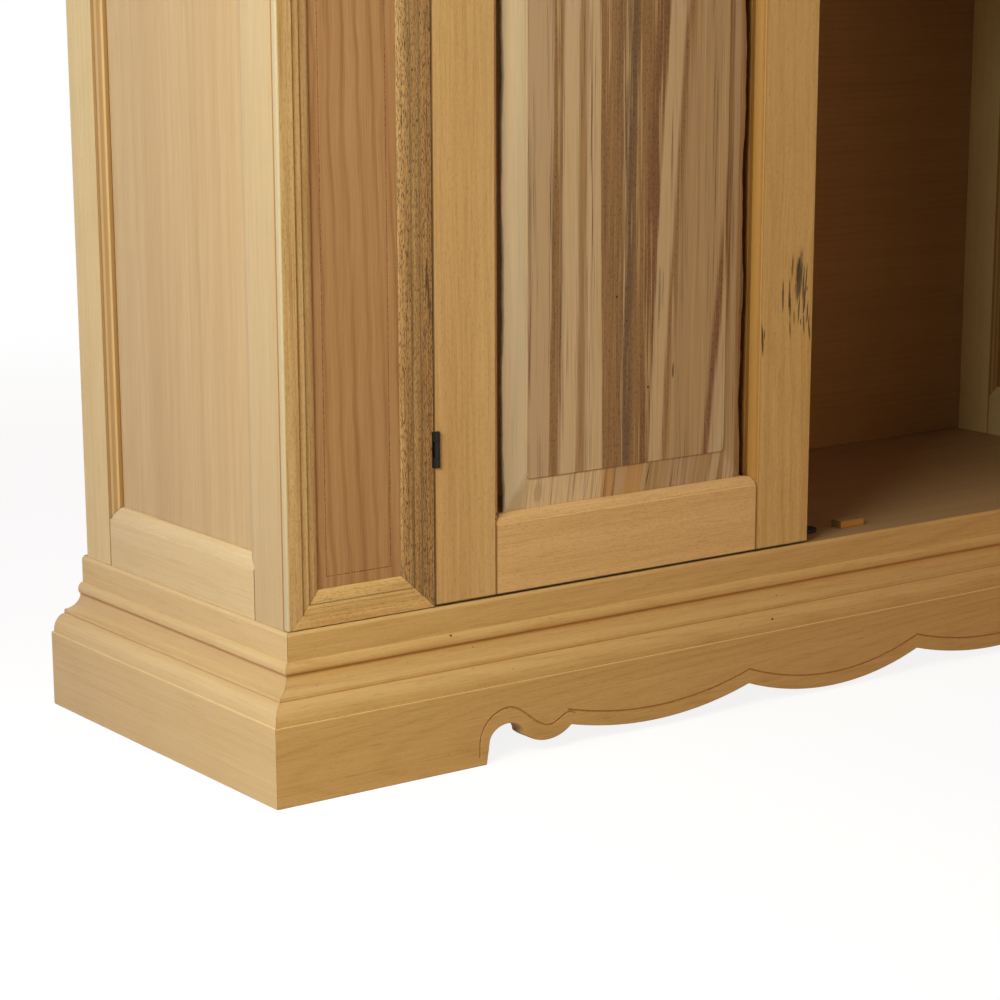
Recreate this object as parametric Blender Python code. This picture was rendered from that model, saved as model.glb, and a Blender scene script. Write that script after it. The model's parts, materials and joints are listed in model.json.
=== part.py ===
"""A tall two-door display cabinet in raw wood.

A moulded plinth with a scalloped apron carries framed sides, corner pilasters, a back
and a cornice. Each door has a fielded wood panel below and a glass pane above, and hangs
on two butt hinges. The left door stands closed and the right door stands open.
"""

import math

import bmesh
import bpy
from mathutils import Matrix, Vector

# Lengths are in millimetres and become metres when a mesh is made.
MM = 0.001

# Fits: the gap between neighbours, how far a cutter runs past what it cuts, and
# how near a point has to be to a cut to lie on it
FIT = 0.3
OVER = 6.0
ON_CUT = 1e-4

# Facets of the round shapes
QUARTER_STEPS = 8
CENTRE_STEPS = 24
SWAG_STEPS = 20
LOBE_STEPS = 14
BEAD_STEPS = 10
PIN_SIDES = 12
KNUCKLE_SIDES = 24
POCKET_SIDES = 28
CATCH_SIDES = 40
KNOB_SIDES = 36
KNOB_STEPS = 10

# Whole cabinet: plinth width and depth, and the clear height inside
WIDTH = 1500.0
DEPTH = 486.6
INSIDE_HEIGHT = 1740.0

# Plinth boards
BOARD_HEIGHT = 85.3
BOARD_THICK = 22.0

# Base moulding, from the board top up and from the plinth face in
LEDGE = 1.0
OVOLO_RUN = 14.2
OVOLO_RISE = 19.9
FILLET_RISE = 4.6
COVE_RUN = 21.0
COVE_RISE = 16.0
BEAD_RISE = 12.6
BEAD_BULGE = 4.3
BAND_STEP = 3.6
BAND_RISE = 29.6
BAND_ROUND = 4.0
MOULDING_BACKING = 14.0
MOULDING_REAR_GAP = 4.5
FASCIA_HEIGHT = 34.0

# Apron: points of the cut edge, as distance from the pattern's middle and height
APRON_SHIFT = 7.0
CENTRE_LOW = 5.3
CUSP_OUT = 132.1
CUSP_HIGH = 28.9
SWAG_OUT = 274.5
SWAG_LOW = 10.0
POINT_OUT = 385.5
POINT_HIGH = 25.0
LOBE_OUT = 419.0
LOBE_LOW = 13.6
LOBE_END_OUT = 449.5
LOBE_END_HIGH = 25.5
NOTCH_OUT = 470.0
NOTCH_HIGH = 40.8
FOOT_TOP_OUT = 494.5
FOOT_RISE = 22.0
FOOT_OUT = 498.0

# Boards of the carcass
FLOOR_THICK = 18.0
BACK_THICK = 10.0
BACK_INSET = 8.0

# Framed sides
SIDE_THICK = 24.0
SIDE_STILE = 56.6
SIDE_RAIL = 53.0
SIDE_STICK_RUN = 15.0
SIDE_STICK_DEEP = 10.0
SIDE_PANEL_THICK = 6.0
SIDE_PANEL_AT = 11.0

# Corner pilasters: a mitred frame whose outer stile laps over the side
PILASTER_WIDTH = 180.0
PILASTER_THICK = 24.0
PILASTER_LIFT = 0.8
PILASTER_FLAT = 14.1
PILASTER_OUTER_EXTRA = 4.0
PILASTER_LAP = 7.4
PILASTER_ROUND = 2.5
PILASTER_BAND = 9.1
PILASTER_BAND_DEEP = 2.2
PILASTER_STEP_DEEP = 4.2
PILASTER_OGEE = 13.4
PILASTER_OGEE_DEEP = 8.0
PILASTER_PANEL_AT = 9.0
PILASTER_PANEL_THICK = 6.0

# Doors
DOOR_THICK = 32.0
DOOR_SIDE_GAP = 0.9
DOOR_FOOT_GAP = 2.0
DOOR_HEAD_GAP = 2.5
MEETING_GAP = 4.4
DOOR_STILE = 77.5
DOOR_RAIL = 75.5
DOOR_STICK_RUN = 10.2
DOOR_STICK_DEEP = 12.0
DOOR_GROOVE_AT = 12.5
DOOR_PANE_THICK = 5.0
MID_RAIL_AT = 710.0
OPEN_ANGLE = 105.0

# Side and door frames: the step before the moulded edge
STICK_QUIRK = 1.5

# Grooves that hold the panels and panes
GROOVE_DEEP = 10.0
TONGUE = 9.0

# Fielded door panel: shrunk from the stiles, with a step round its raised field
PANEL_SHRINK = 7.9
PANEL_SIDE_MARGIN = 28.0
PANEL_END_MARGIN = 33.0
FIELD_AT = 6.0
FIELD_STEP = 1.5
PANEL_ARRIS = 1.0

# Butt hinges
HINGE_FROM_END = 165.5
HINGE_LENGTH = 37.6
PIVOT_OUT = 3.95
PIVOT_PROUD = 0.5
KNUCKLE_RADIUS = 3.1
END_KNUCKLE = 9.8
KNUCKLE_GAP = 0.4
PIN_RADIUS = 1.3
PIN_PLAY = 0.3
LEAF_THICK = 1.4
LEAF_DEPTH = 19.0
LEAF_SET_BACK = 1.0
POCKET_PLAY = 0.5

# Shelves, housed in the side stiles, with their tops at these heights over the floor
SHELF_THICK = 22.0
LOWER_SHELF_AT = 745.0
UPPER_SHELF_AT = 1240.0
SHELF_FRONT_GAP = 4.0
HOUSING = 4.0

# Small pieces on the floor, right of the middle
STOP_WIDTH = 38.1
STOP_DEPTH = 15.5
STOP_HEIGHT = 8.2
STOP_OUT = 80.6
CATCH_OUT = 36.0
CATCH_RADIUS = 15.5
CATCH_HEIGHT = 4.0
CATCH_EDGE = 1.0
STOP_GAP = 0.4

# Door knob: radii of its rose, neck and ball, and places along its length
KNOB_AT = 830.0
KNOB_ROSE = 13.0
KNOB_ROSE_THICK = 3.4
KNOB_NECK = 7.0
KNOB_NECK_OUT = 7.5
KNOB_BALL = 15.0
KNOB_BALL_HALF = 9.0
KNOB_BALL_FROM = -55.0
KNOB_BALL_TO = 77.0
KNOB_LENGTH = 34.0

# Places worked out from the sizes above
MOULDING_BOTTOM = BOARD_HEIGHT + FIT
BAND_BOTTOM = BOARD_HEIGHT + OVOLO_RISE + FILLET_RISE + COVE_RISE + BEAD_RISE
FLOOR = BAND_BOTTOM + BAND_RISE
CEILING = FLOOR + INSIDE_HEIGHT
NECK_IN = LEDGE + OVOLO_RUN + COVE_RUN
BAND_IN = NECK_IN + BAND_STEP
CARCASS_IN = BAND_IN + BAND_ROUND + FIT
MOULDING_IN = CARCASS_IN + MOULDING_BACKING
MOULDING_REAR = DEPTH - MOULDING_REAR_GAP
SIDE_REAR = DEPTH - BACK_THICK - FIT
SIDE_INNER = CARCASS_IN + SIDE_THICK
DOOR_FRONT = CARCASS_IN
DOOR_BACK = DOOR_FRONT + DOOR_THICK
PILASTER_EDGE = CARCASS_IN + PILASTER_WIDTH
DOOR_LEFT = PILASTER_EDGE + DOOR_SIDE_GAP
DOOR_RIGHT = WIDTH / 2 - MEETING_GAP / 2
DOOR_BOTTOM = FLOOR + DOOR_FOOT_GAP
DOOR_TOP = CEILING - DOOR_HEAD_GAP
PIVOT = Vector((PILASTER_EDGE + PIVOT_OUT, DOOR_FRONT - PIVOT_PROUD, 0.0))
HINGE_MIDDLES = {"lower": DOOR_BOTTOM + HINGE_FROM_END, "upper": DOOR_TOP - HINGE_FROM_END}
SHELF_TOPS = {"lower_shelf": FLOOR + LOWER_SHELF_AT, "upper_shelf": FLOOR + UPPER_SHELF_AT}

LEFT = -1
RIGHT = 1
SIDE_NAMES = {LEFT: "left", RIGHT: "right"}
X = Vector((1.0, 0.0, 0.0))
Y = Vector((0.0, 1.0, 0.0))
Z = Vector((0.0, 0.0, 1.0))


# Materials

def material(name, colour, roughness, metallic=0.0, alpha=1.0):
    """A plain surface of one colour."""
    made = bpy.data.materials.new(name)
    made.use_nodes = True
    shader = made.node_tree.nodes["Principled BSDF"]
    shader.inputs["Base Color"].default_value = (*colour, 1.0)
    shader.inputs["Roughness"].default_value = roughness
    shader.inputs["Metallic"].default_value = metallic
    shader.inputs["Alpha"].default_value = alpha
    return made


def make_materials():
    """The woods, the black metal and the glass."""
    return {
        "cream_wood": material("cream_wood", (0.62, 0.42, 0.20), 0.55),
        "door_wood": material("door_wood", (0.50, 0.31, 0.12), 0.55),
        "olive_wood": material("olive_wood", (0.45, 0.28, 0.11), 0.55),
        "pink_wood": material("pink_wood", (0.58, 0.39, 0.20), 0.55),
        "brown_wood": material("brown_wood", (0.34, 0.17, 0.06), 0.55),
        "streaked_wood": material("streaked_wood", (0.30, 0.18, 0.08), 0.6),
        "red_wood": material("red_wood", (0.22, 0.10, 0.05), 0.5),
        "black_metal": material("black_metal", (0.01, 0.01, 0.01), 0.4, metallic=0.6),
        "glass": material("glass", (0.9, 0.95, 0.93), 0.05, alpha=0.25),
    }


# Placing meshes

def to_world(side):
    """From millimetres off the plinth's front corner on that side to the world."""
    mirror = Matrix.Diagonal((-side, 1.0, 1.0, 1.0))
    shift = Matrix.Translation((side * WIDTH / 2, BOARD_THICK / 2 - DEPTH, 0.0))
    return Matrix.Scale(MM, 4) @ shift @ mirror


def door_axis(side, angle):
    """An empty on a door's hinge axis, turned by how far the door stands open."""
    axis = bpy.data.objects.new(f"{SIDE_NAMES[side]}_door_axis", None)
    axis.location = to_world(side) @ PIVOT
    axis.rotation_euler.z = side * math.radians(angle)
    bpy.context.collection.objects.link(axis)
    return axis


def add_piece(name, bm, side, surface=None, axis=None):
    """Turn a mesh in cabinet millimetres into an object, on a door axis if one is given."""
    place = to_world(side)
    if axis:
        place = Matrix.Translation(-axis.location) @ place
    bm.transform(place)
    if place.determinant() < 0:
        bmesh.ops.reverse_faces(bm, faces=bm.faces)
    mesh = bpy.data.meshes.new(name)
    bm.to_mesh(mesh)
    bm.free()
    piece = bpy.data.objects.new(name, mesh)
    piece.parent = axis
    if surface:
        mesh.materials.append(surface)
    else:
        piece.hide_render = True
        piece.display_type = "WIRE"
    bpy.context.collection.objects.link(piece)
    return piece


def shape_with(piece, tool, operation):
    """Cut a piece with a hidden tool, or join the tool to it."""
    change = piece.modifiers.new(tool.name, "BOOLEAN")
    change.operation = operation
    change.object = tool
    change.solver = "EXACT"
    change.use_self = True


# Outlines

def elbow(start, end, upright_first):
    """A quarter ellipse from start to end, both points included."""
    run = end[0] - start[0]
    rise = end[1] - start[1]
    points = []
    for step in range(QUARTER_STEPS + 1):
        turn = math.pi / 2 * step / QUARTER_STEPS
        near = 1.0 - math.cos(turn)
        far = math.sin(turn)
        across, up = (near, far) if upright_first else (far, near)
        points.append((start[0] + run * across, start[1] + rise * up))
    return points


def arc_through(start, middle, end, steps):
    """Points on the circle through three points, from start up to but not at end."""
    a, b, c = (Vector(point) for point in (start, middle, end))
    twice_area = 2 * (a.x * (b.y - c.y) + b.x * (c.y - a.y) + c.x * (a.y - b.y))
    squares = (a.length_squared, b.length_squared, c.length_squared)
    centre = Vector((
        (squares[0] * (b.y - c.y) + squares[1] * (c.y - a.y) + squares[2] * (a.y - b.y)) / twice_area,
        (squares[0] * (c.x - b.x) + squares[1] * (a.x - c.x) + squares[2] * (b.x - a.x)) / twice_area,
    ))
    radius = (a - centre).length
    first = math.atan2(a.y - centre.y, a.x - centre.x)
    sweep = math.atan2(c.y - centre.y, c.x - centre.x) - first
    sweep = (sweep + math.pi) % (2 * math.pi) - math.pi
    points = []
    for step in range(steps):
        turn = first + sweep * step / steps
        points.append((centre.x + radius * math.cos(turn), centre.y + radius * math.sin(turn)))
    return points


def box_outline(u0, v0, u1, v1):
    """A rectangle."""
    return [(u0, v0), (u1, v0), (u1, v1), (u0, v1)]


def apron_half():
    """The cut edge from the pattern's middle out to the foot, on the right side."""
    middle = (0.0, CENTRE_LOW)
    cusp = (CUSP_OUT, CUSP_HIGH)
    point = (POINT_OUT, POINT_HIGH)
    notch = (NOTCH_OUT, NOTCH_HIGH)
    lobe_end = (LOBE_END_OUT, LOBE_END_HIGH)
    foot = (FOOT_TOP_OUT, FOOT_RISE)
    centre_arc = arc_through((-CUSP_OUT, CUSP_HIGH), middle, cusp, CENTRE_STEPS)
    edge = centre_arc[CENTRE_STEPS // 2:]
    edge += arc_through(cusp, (SWAG_OUT, SWAG_LOW), point, SWAG_STEPS)
    edge += arc_through(point, (LOBE_OUT, LOBE_LOW), lobe_end, LOBE_STEPS)
    edge += elbow(lobe_end, notch, True)[:-1]
    edge += elbow(notch, foot, False)
    return edge + [(FOOT_OUT, 0.0)]


def apron_outline():
    """The front board seen from the front, with its scalloped lower edge."""
    middle = WIDTH / 2 + APRON_SHIFT
    half = apron_half()
    right = [(middle + out, high) for out, high in half]
    left = [(middle - out, high) for out, high in reversed(half[1:])]
    ends = [(WIDTH, 0.0), (WIDTH, BOARD_HEIGHT), (0.0, BOARD_HEIGHT), (0.0, 0.0)]
    return left + right + ends


def moulding_face():
    """The base moulding's shaped face, from the plinth board up to the cabinet floor."""
    ovolo_end = (LEDGE + OVOLO_RUN, MOULDING_BOTTOM + OVOLO_RISE)
    cove_start = (ovolo_end[0], ovolo_end[1] + FILLET_RISE)
    neck = (NECK_IN, BAND_BOTTOM - BEAD_RISE)
    face = elbow((LEDGE, MOULDING_BOTTOM), ovolo_end, True)
    face += elbow(cove_start, neck, False)
    for step in range(1, BEAD_STEPS):
        share = step / BEAD_STEPS
        bulge = BEAD_BULGE * math.sin(math.pi * share)
        rise = BEAD_RISE * (1 - math.cos(math.pi * share)) / 2
        face.append((neck[0] + BAND_STEP * share - bulge, neck[1] + rise))
    face.append((BAND_IN, BAND_BOTTOM))
    face += elbow((BAND_IN, FLOOR - BAND_ROUND), (BAND_IN + BAND_ROUND, FLOOR), True)
    return face + [(CARCASS_IN, FLOOR)]


def base_outline():
    """The base moulding's section, rebated at the top for the floor board."""
    rebate = FLOOR - FLOOR_THICK - FIT
    back = [(CARCASS_IN, rebate), (MOULDING_IN, rebate), (MOULDING_IN, MOULDING_BOTTOM)]
    return moulding_face() + back


def cornice_outline():
    """The same moulding upside down over the carcass, with a fascia on top."""
    face = [(inset, CEILING + FLOOR - height) for inset, height in moulding_face()]
    fascia_foot = face[0][1]
    fascia_top = fascia_foot + FASCIA_HEIGHT
    rebate = CEILING + FLOOR_THICK + FIT
    back = [
        (CARCASS_IN, rebate), (MOULDING_IN, rebate), (MOULDING_IN, fascia_foot),
        (BOARD_THICK, fascia_foot), (BOARD_THICK, fascia_top), (0.0, fascia_top), (0.0, fascia_foot),
    ]
    return face + back


def grooved_edge(width, groove_at, groove_wide, thick):
    """The inner edge of a frame member, with the groove for its panel, front to back."""
    floor = width - GROOVE_DEEP
    return [
        (width, groove_at), (floor, groove_at),
        (floor, groove_at + groove_wide), (width, groove_at + groove_wide), (width, thick),
    ]


def side_edge(flat):
    """The side frame's moulded and grooved inner edge."""
    width = flat + SIDE_STICK_RUN
    stick = [(flat, 0.0)] + elbow((flat, STICK_QUIRK), (width, SIDE_STICK_DEEP), False)
    return stick + grooved_edge(width, SIDE_PANEL_AT, SIDE_PANEL_THICK + 2 * FIT, SIDE_THICK)


def door_edge(flat):
    """The door frame's moulded and grooved inner edge."""
    width = flat + DOOR_STICK_RUN
    stick = [(flat, 0.0)] + elbow((flat, STICK_QUIRK), (width, DOOR_STICK_DEEP), False)
    return stick + grooved_edge(width, DOOR_GROOVE_AT, DOOR_PANE_THICK + 2 * FIT, DOOR_THICK)


def pilaster_edge(flat):
    """The pilaster frame's stepped, moulded and grooved inner edge."""
    band = flat + PILASTER_BAND
    width = band + PILASTER_OGEE
    stick = [(flat, 0.0), (flat, PILASTER_BAND_DEEP), (band, PILASTER_BAND_DEEP)]
    stick += elbow((band, PILASTER_STEP_DEEP), (width, PILASTER_OGEE_DEEP), False)
    groove_wide = PILASTER_PANEL_THICK + 2 * FIT
    return stick + grooved_edge(width, PILASTER_PANEL_AT, groove_wide, PILASTER_THICK)


# Solids

def face_out(bm):
    """Turn the faces of one closed body outwards."""
    bmesh.ops.recalc_face_normals(bm, faces=bm.faces)
    if bm.calc_volume(signed=True) < 0:
        bmesh.ops.reverse_faces(bm, faces=bm.faces)
    return bm


def bar(outline, start, end, across, deep):
    """A straight bar: an outline in two directions, drawn from start to end."""
    bm = bmesh.new()
    rings = []
    for corner in (start, end):
        rings.append([bm.verts.new(Vector(corner) + u * across + v * deep) for u, v in outline])
    bm.faces.new(rings[0])
    bm.faces.new(list(reversed(rings[1])))
    count = len(outline)
    for index in range(count):
        after = (index + 1) % count
        bm.faces.new((rings[0][after], rings[0][index], rings[1][index], rings[1][after]))
    return face_out(bm)


def block(low, high):
    """A box between two corners."""
    outline = box_outline(low[0], low[1], high[0], high[1])
    return bar(outline, (0.0, 0.0, low[2]), (0.0, 0.0, high[2]), X, Y)


def turned(stations, foot, axis, sides):
    """A turned solid: radii at distances along an axis."""
    bm = bmesh.new()
    right = axis.orthogonal().normalized()
    up = axis.cross(right)
    rings = []
    for distance, radius in stations:
        ring = []
        for side in range(sides):
            turn = 2 * math.pi * side / sides
            spoke = math.cos(turn) * right + math.sin(turn) * up
            ring.append(bm.verts.new(Vector(foot) + distance * axis + radius * spoke))
        rings.append(ring)
    bm.faces.new(rings[0])
    bm.faces.new(list(reversed(rings[-1])))
    for lower, upper in zip(rings, rings[1:]):
        for side in range(sides):
            after = (side + 1) % sides
            bm.faces.new((lower[after], lower[side], upper[side], upper[after]))
    return face_out(bm)


def together(*bodies):
    """Several bodies in one mesh."""
    joined = bmesh.new()
    for body in bodies:
        copy = bpy.data.meshes.new("copy")
        body.to_mesh(copy)
        joined.from_mesh(copy)
        body.free()
        bpy.data.meshes.remove(copy)
    return joined


def trim(bm, point, outward):
    """Cut off what lies beyond a plane and close the cut."""
    everything = bm.verts[:] + bm.edges[:] + bm.faces[:]
    bmesh.ops.bisect_plane(
        bm, geom=everything, dist=ON_CUT, plane_co=point, plane_no=outward, clear_outer=True)
    bmesh.ops.edgeloop_fill(bm, edges=[edge for edge in bm.edges if edge.is_boundary])
    face_out(bm)


# Plinth and mouldings

def ring_piece(name, outline, surface, rear):
    """Front, left and right runs of one outline round the cabinet, mitred at the corners."""
    mitre = FIT / 2
    front = bar(outline, (0.0, 0.0, 0.0), (WIDTH, 0.0, 0.0), Y, Z)
    trim(front, (mitre, 0.0, 0.0), Y - X)
    trim(front, (WIDTH - mitre, 0.0, 0.0), X + Y)
    add_piece(f"{name}_front", front, LEFT, surface)
    for side in (LEFT, RIGHT):
        run = bar(outline, (0.0, 0.0, 0.0), (0.0, rear, 0.0), X, Z)
        trim(run, (0.0, mitre, 0.0), X - Y)
        add_piece(f"{name}_{SIDE_NAMES[side]}", run, side, surface)


def add_plinth(surface):
    """The scalloped front board, mitred to the side boards, and the back board."""
    mitre = FIT / 2
    front = bar(apron_outline(), (0.0, 0.0, 0.0), (0.0, BOARD_THICK, 0.0), X, Z)
    trim(front, (mitre, 0.0, 0.0), Y - X)
    trim(front, (WIDTH - mitre, 0.0, 0.0), X + Y)
    add_piece("plinth_front", front, LEFT, surface)
    for side in (LEFT, RIGHT):
        board = block((0.0, 0.0, 0.0), (BOARD_THICK, DEPTH, BOARD_HEIGHT))
        trim(board, (0.0, mitre, 0.0), X - Y)
        add_piece(f"plinth_{SIDE_NAMES[side]}", board, side, surface)
    inner = MOULDING_IN + FIT
    back = block((inner, DEPTH - BOARD_THICK, 0.0), (WIDTH - inner, DEPTH, FLOOR - FLOOR_THICK - FIT))
    add_piece("plinth_back", back, LEFT, surface)


def add_boards(surfaces):
    """Floor, top and back of the carcass."""
    edge = CARCASS_IN + FIT
    low = (edge, edge, FLOOR - FLOOR_THICK)
    add_piece("bottom_board", block(low, (WIDTH - edge, DEPTH, FLOOR)), LEFT, surfaces["red_wood"])
    low = (edge, edge, CEILING)
    high = (WIDTH - edge, DEPTH, CEILING + FLOOR_THICK)
    add_piece("top_board", block(low, high), LEFT, surfaces["cream_wood"])
    inset = CARCASS_IN + BACK_INSET
    low = (inset, DEPTH - BACK_THICK, FLOOR + FIT)
    high = (WIDTH - inset, DEPTH, CEILING - FIT)
    add_piece("back_panel", block(low, high), LEFT, surfaces["red_wood"])


# Framed sides

def stile_notches(corner, across, deep, flat, reach, thick, rails):
    """Cutters that clear a stile's moulded edge, with mitres, where rails meet it."""
    bodies = []
    for low, high in rails:
        outline = [(flat, low), (flat, high), (flat + reach, high + reach), (flat + reach, low - reach)]
        start = Vector(corner) - OVER * deep
        bodies.append(bar(outline, start, start + (thick + 2 * OVER) * deep, across, Z))
    return together(*bodies)


def mitred_rail(outline, start, end, across, deep, mitres):
    """A rail between two stiles whose moulded edges are mitred at both ends."""
    rail = bar(outline, start, end, across, deep)
    along = (Vector(end) - Vector(start)).normalized()
    for flat, inward in mitres:
        trim(rail, Vector(start) + flat * inward, inward - along)
        trim(rail, Vector(end) + flat * inward, inward + along)
    return rail


def add_framed_side(side, surfaces):
    """Two stiles, two rails and a flat panel, with housings for the shelves."""
    name = f"{SIDE_NAMES[side]}_side"
    low = FLOOR + FIT
    high = CEILING - FIT
    front = CARCASS_IN + PILASTER_LAP + FIT
    rail_low = low + SIDE_RAIL
    rail_high = high - SIDE_RAIL
    rails = ((low - OVER, rail_low), (rail_high, high + OVER))
    section = [(0.0, SIDE_THICK), (0.0, 0.0)]
    stiles = {"front_stile": (front, Y), "rear_stile": (SIDE_REAR, -Y)}
    housings = []
    for top in SHELF_TOPS.values():
        housing_low = (SIDE_INNER - HOUSING, DOOR_BACK + SHELF_FRONT_GAP - FIT, top - SHELF_THICK - FIT)
        housing_high = (SIDE_INNER + OVER, SIDE_REAR + OVER, top + FIT)
        housings.append(block(housing_low, housing_high))
    housing_tool = add_piece(f"{name}_housings", together(*housings), side)
    for stile, (edge, across) in stiles.items():
        corner = Vector((CARCASS_IN, edge, 0.0))
        shape = bar(section + side_edge(SIDE_STILE), corner + low * Z, corner + high * Z, across, X)
        piece = add_piece(f"{name}_{stile}", shape, side, surfaces["cream_wood"])
        notches = stile_notches(
            corner, across, X, SIDE_STILE, SIDE_STICK_RUN + OVER, SIDE_THICK, rails)
        shape_with(piece, add_piece(f"{name}_{stile}_notches", notches, side), "DIFFERENCE")
        shape_with(piece, housing_tool, "DIFFERENCE")
    rail_front = front + SIDE_STILE + FIT
    rail_rear = SIDE_REAR - SIDE_STILE - FIT
    for rail, height, across in (("bottom_rail", low, Z), ("top_rail", high, -Z)):
        start = (CARCASS_IN, rail_front, height)
        end = (CARCASS_IN, rail_rear, height)
        shape = mitred_rail(
            section + side_edge(SIDE_RAIL), start, end, across, X, ((SIDE_RAIL, across),))
        add_piece(f"{name}_{rail}", shape, side, surfaces["cream_wood"])
    tongue = SIDE_STICK_RUN - TONGUE
    face = CARCASS_IN + SIDE_PANEL_AT + FIT
    panel = block(
        (face, front + SIDE_STILE + tongue, rail_low + tongue),
        (face + SIDE_PANEL_THICK, SIDE_REAR - SIDE_STILE - tongue, rail_high - tongue))
    add_piece(f"{name}_panel", panel, side, surfaces["pink_wood"])


# Corner pilasters

def add_pilaster(side, surfaces):
    """A mitred moulded frame round a flat panel, its outer stile lapped over the side."""
    name = f"{SIDE_NAMES[side]}_pilaster"
    low = FLOOR + PILASTER_LIFT
    high = CEILING - FIT
    mitre = FIT / 2
    outer_flat = PILASTER_FLAT + PILASTER_OUTER_EXTRA
    mitre_left = CARCASS_IN + PILASTER_OUTER_EXTRA
    rebate = block(
        (CARCASS_IN - OVER, DOOR_FRONT + PILASTER_LAP, low - OVER),
        (SIDE_INNER + FIT, DOOR_FRONT + PILASTER_THICK + OVER, high + OVER))
    rebate_tool = add_piece(f"{name}_rebate", rebate, side)
    rounded = elbow((0.0, PILASTER_ROUND), (PILASTER_ROUND, 0.0), True)
    plain_back = [(0.0, PILASTER_THICK), (0.0, 0.0)]
    outer = bar(
        [(0.0, PILASTER_THICK)] + rounded + pilaster_edge(outer_flat),
        (CARCASS_IN, DOOR_FRONT, low), (CARCASS_IN, DOOR_FRONT, high), X, Y)
    trim(outer, (mitre_left - mitre, 0.0, low), X - Z)
    trim(outer, (mitre_left - mitre, 0.0, high), X + Z)
    outer_piece = add_piece(f"{name}_outer_stile", outer, side, surfaces["olive_wood"])
    shape_with(outer_piece, rebate_tool, "DIFFERENCE")
    inner = bar(
        plain_back + pilaster_edge(PILASTER_FLAT),
        (PILASTER_EDGE, DOOR_FRONT, low), (PILASTER_EDGE, DOOR_FRONT, high), -X, Y)
    trim(inner, (PILASTER_EDGE + mitre, 0.0, low), -X - Z)
    trim(inner, (PILASTER_EDGE + mitre, 0.0, high), Z - X)
    inner_piece = add_piece(f"{name}_inner_stile", inner, side, surfaces["olive_wood"])
    shape_with(inner_piece, add_piece(f"{name}_leaf_recess", frame_leaf_recesses(), side), "DIFFERENCE")
    for rail, height, across in (("bottom_rail", low, Z), ("top_rail", high, -Z)):
        shape = bar(
            plain_back + pilaster_edge(PILASTER_FLAT),
            (CARCASS_IN, DOOR_FRONT, height), (PILASTER_EDGE, DOOR_FRONT, height), across, Y)
        trim(shape, (mitre_left + mitre, 0.0, height), across - X)
        trim(shape, (PILASTER_EDGE - mitre, 0.0, height), across + X)
        rail_piece = add_piece(f"{name}_{rail}", shape, side, surfaces["olive_wood"])
        shape_with(rail_piece, rebate_tool, "DIFFERENCE")
    reach = PILASTER_FLAT + PILASTER_BAND + PILASTER_OGEE - TONGUE
    face = DOOR_FRONT + PILASTER_PANEL_AT + FIT
    panel = block(
        (mitre_left + reach, face, low + reach),
        (PILASTER_EDGE - reach, face + PILASTER_PANEL_THICK, high - reach))
    add_piece(f"{name}_panel", panel, side, surfaces["brown_wood"])


# Hinges

def frame_leaf_recesses():
    """Shallow seats in the pilaster's edge for the fixed leaves."""
    seats = []
    half = HINGE_LENGTH / 2 + FIT
    for middle in HINGE_MIDDLES.values():
        low = (PILASTER_EDGE - LEAF_THICK - FIT, DOOR_FRONT - OVER, middle - half)
        high = (PILASTER_EDGE + OVER, leaf_rear() + FIT, middle + half)
        seats.append(block(low, high))
    return together(*seats)


def door_leaf_recesses():
    """Shallow seats in the door's edge for the swinging leaves."""
    seats = []
    half = HINGE_LENGTH / 2 + FIT
    for middle in HINGE_MIDDLES.values():
        low = (DOOR_LEFT - OVER, DOOR_FRONT - OVER, middle - half)
        high = (DOOR_LEFT + LEAF_THICK + FIT, leaf_rear() + FIT, middle + half)
        seats.append(block(low, high))
    return together(*seats)


def knuckle_pockets():
    """Round clearances in the door's front edge for the knuckles."""
    pockets = []
    half = HINGE_LENGTH / 2 + FIT
    radius = KNUCKLE_RADIUS + POCKET_PLAY
    for middle in HINGE_MIDDLES.values():
        foot = PIVOT + (middle - half) * Z
        pockets.append(turned(((0.0, radius), (2 * half, radius)), foot, Z, POCKET_SIDES))
    return together(*pockets)


def leaf_front():
    """Where the flat of a leaf begins, behind the knuckles."""
    return PIVOT.y + KNUCKLE_RADIUS + LEAF_SET_BACK


def leaf_rear():
    """Where a leaf ends, inside the joint."""
    return leaf_front() + LEAF_DEPTH


def knuckle(low, high):
    """One rolled knuckle round the pivot."""
    stations = ((0.0, KNUCKLE_RADIUS), (high - low, KNUCKLE_RADIUS))
    return turned(stations, PIVOT + low * Z, Z, KNUCKLE_SIDES)


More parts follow.
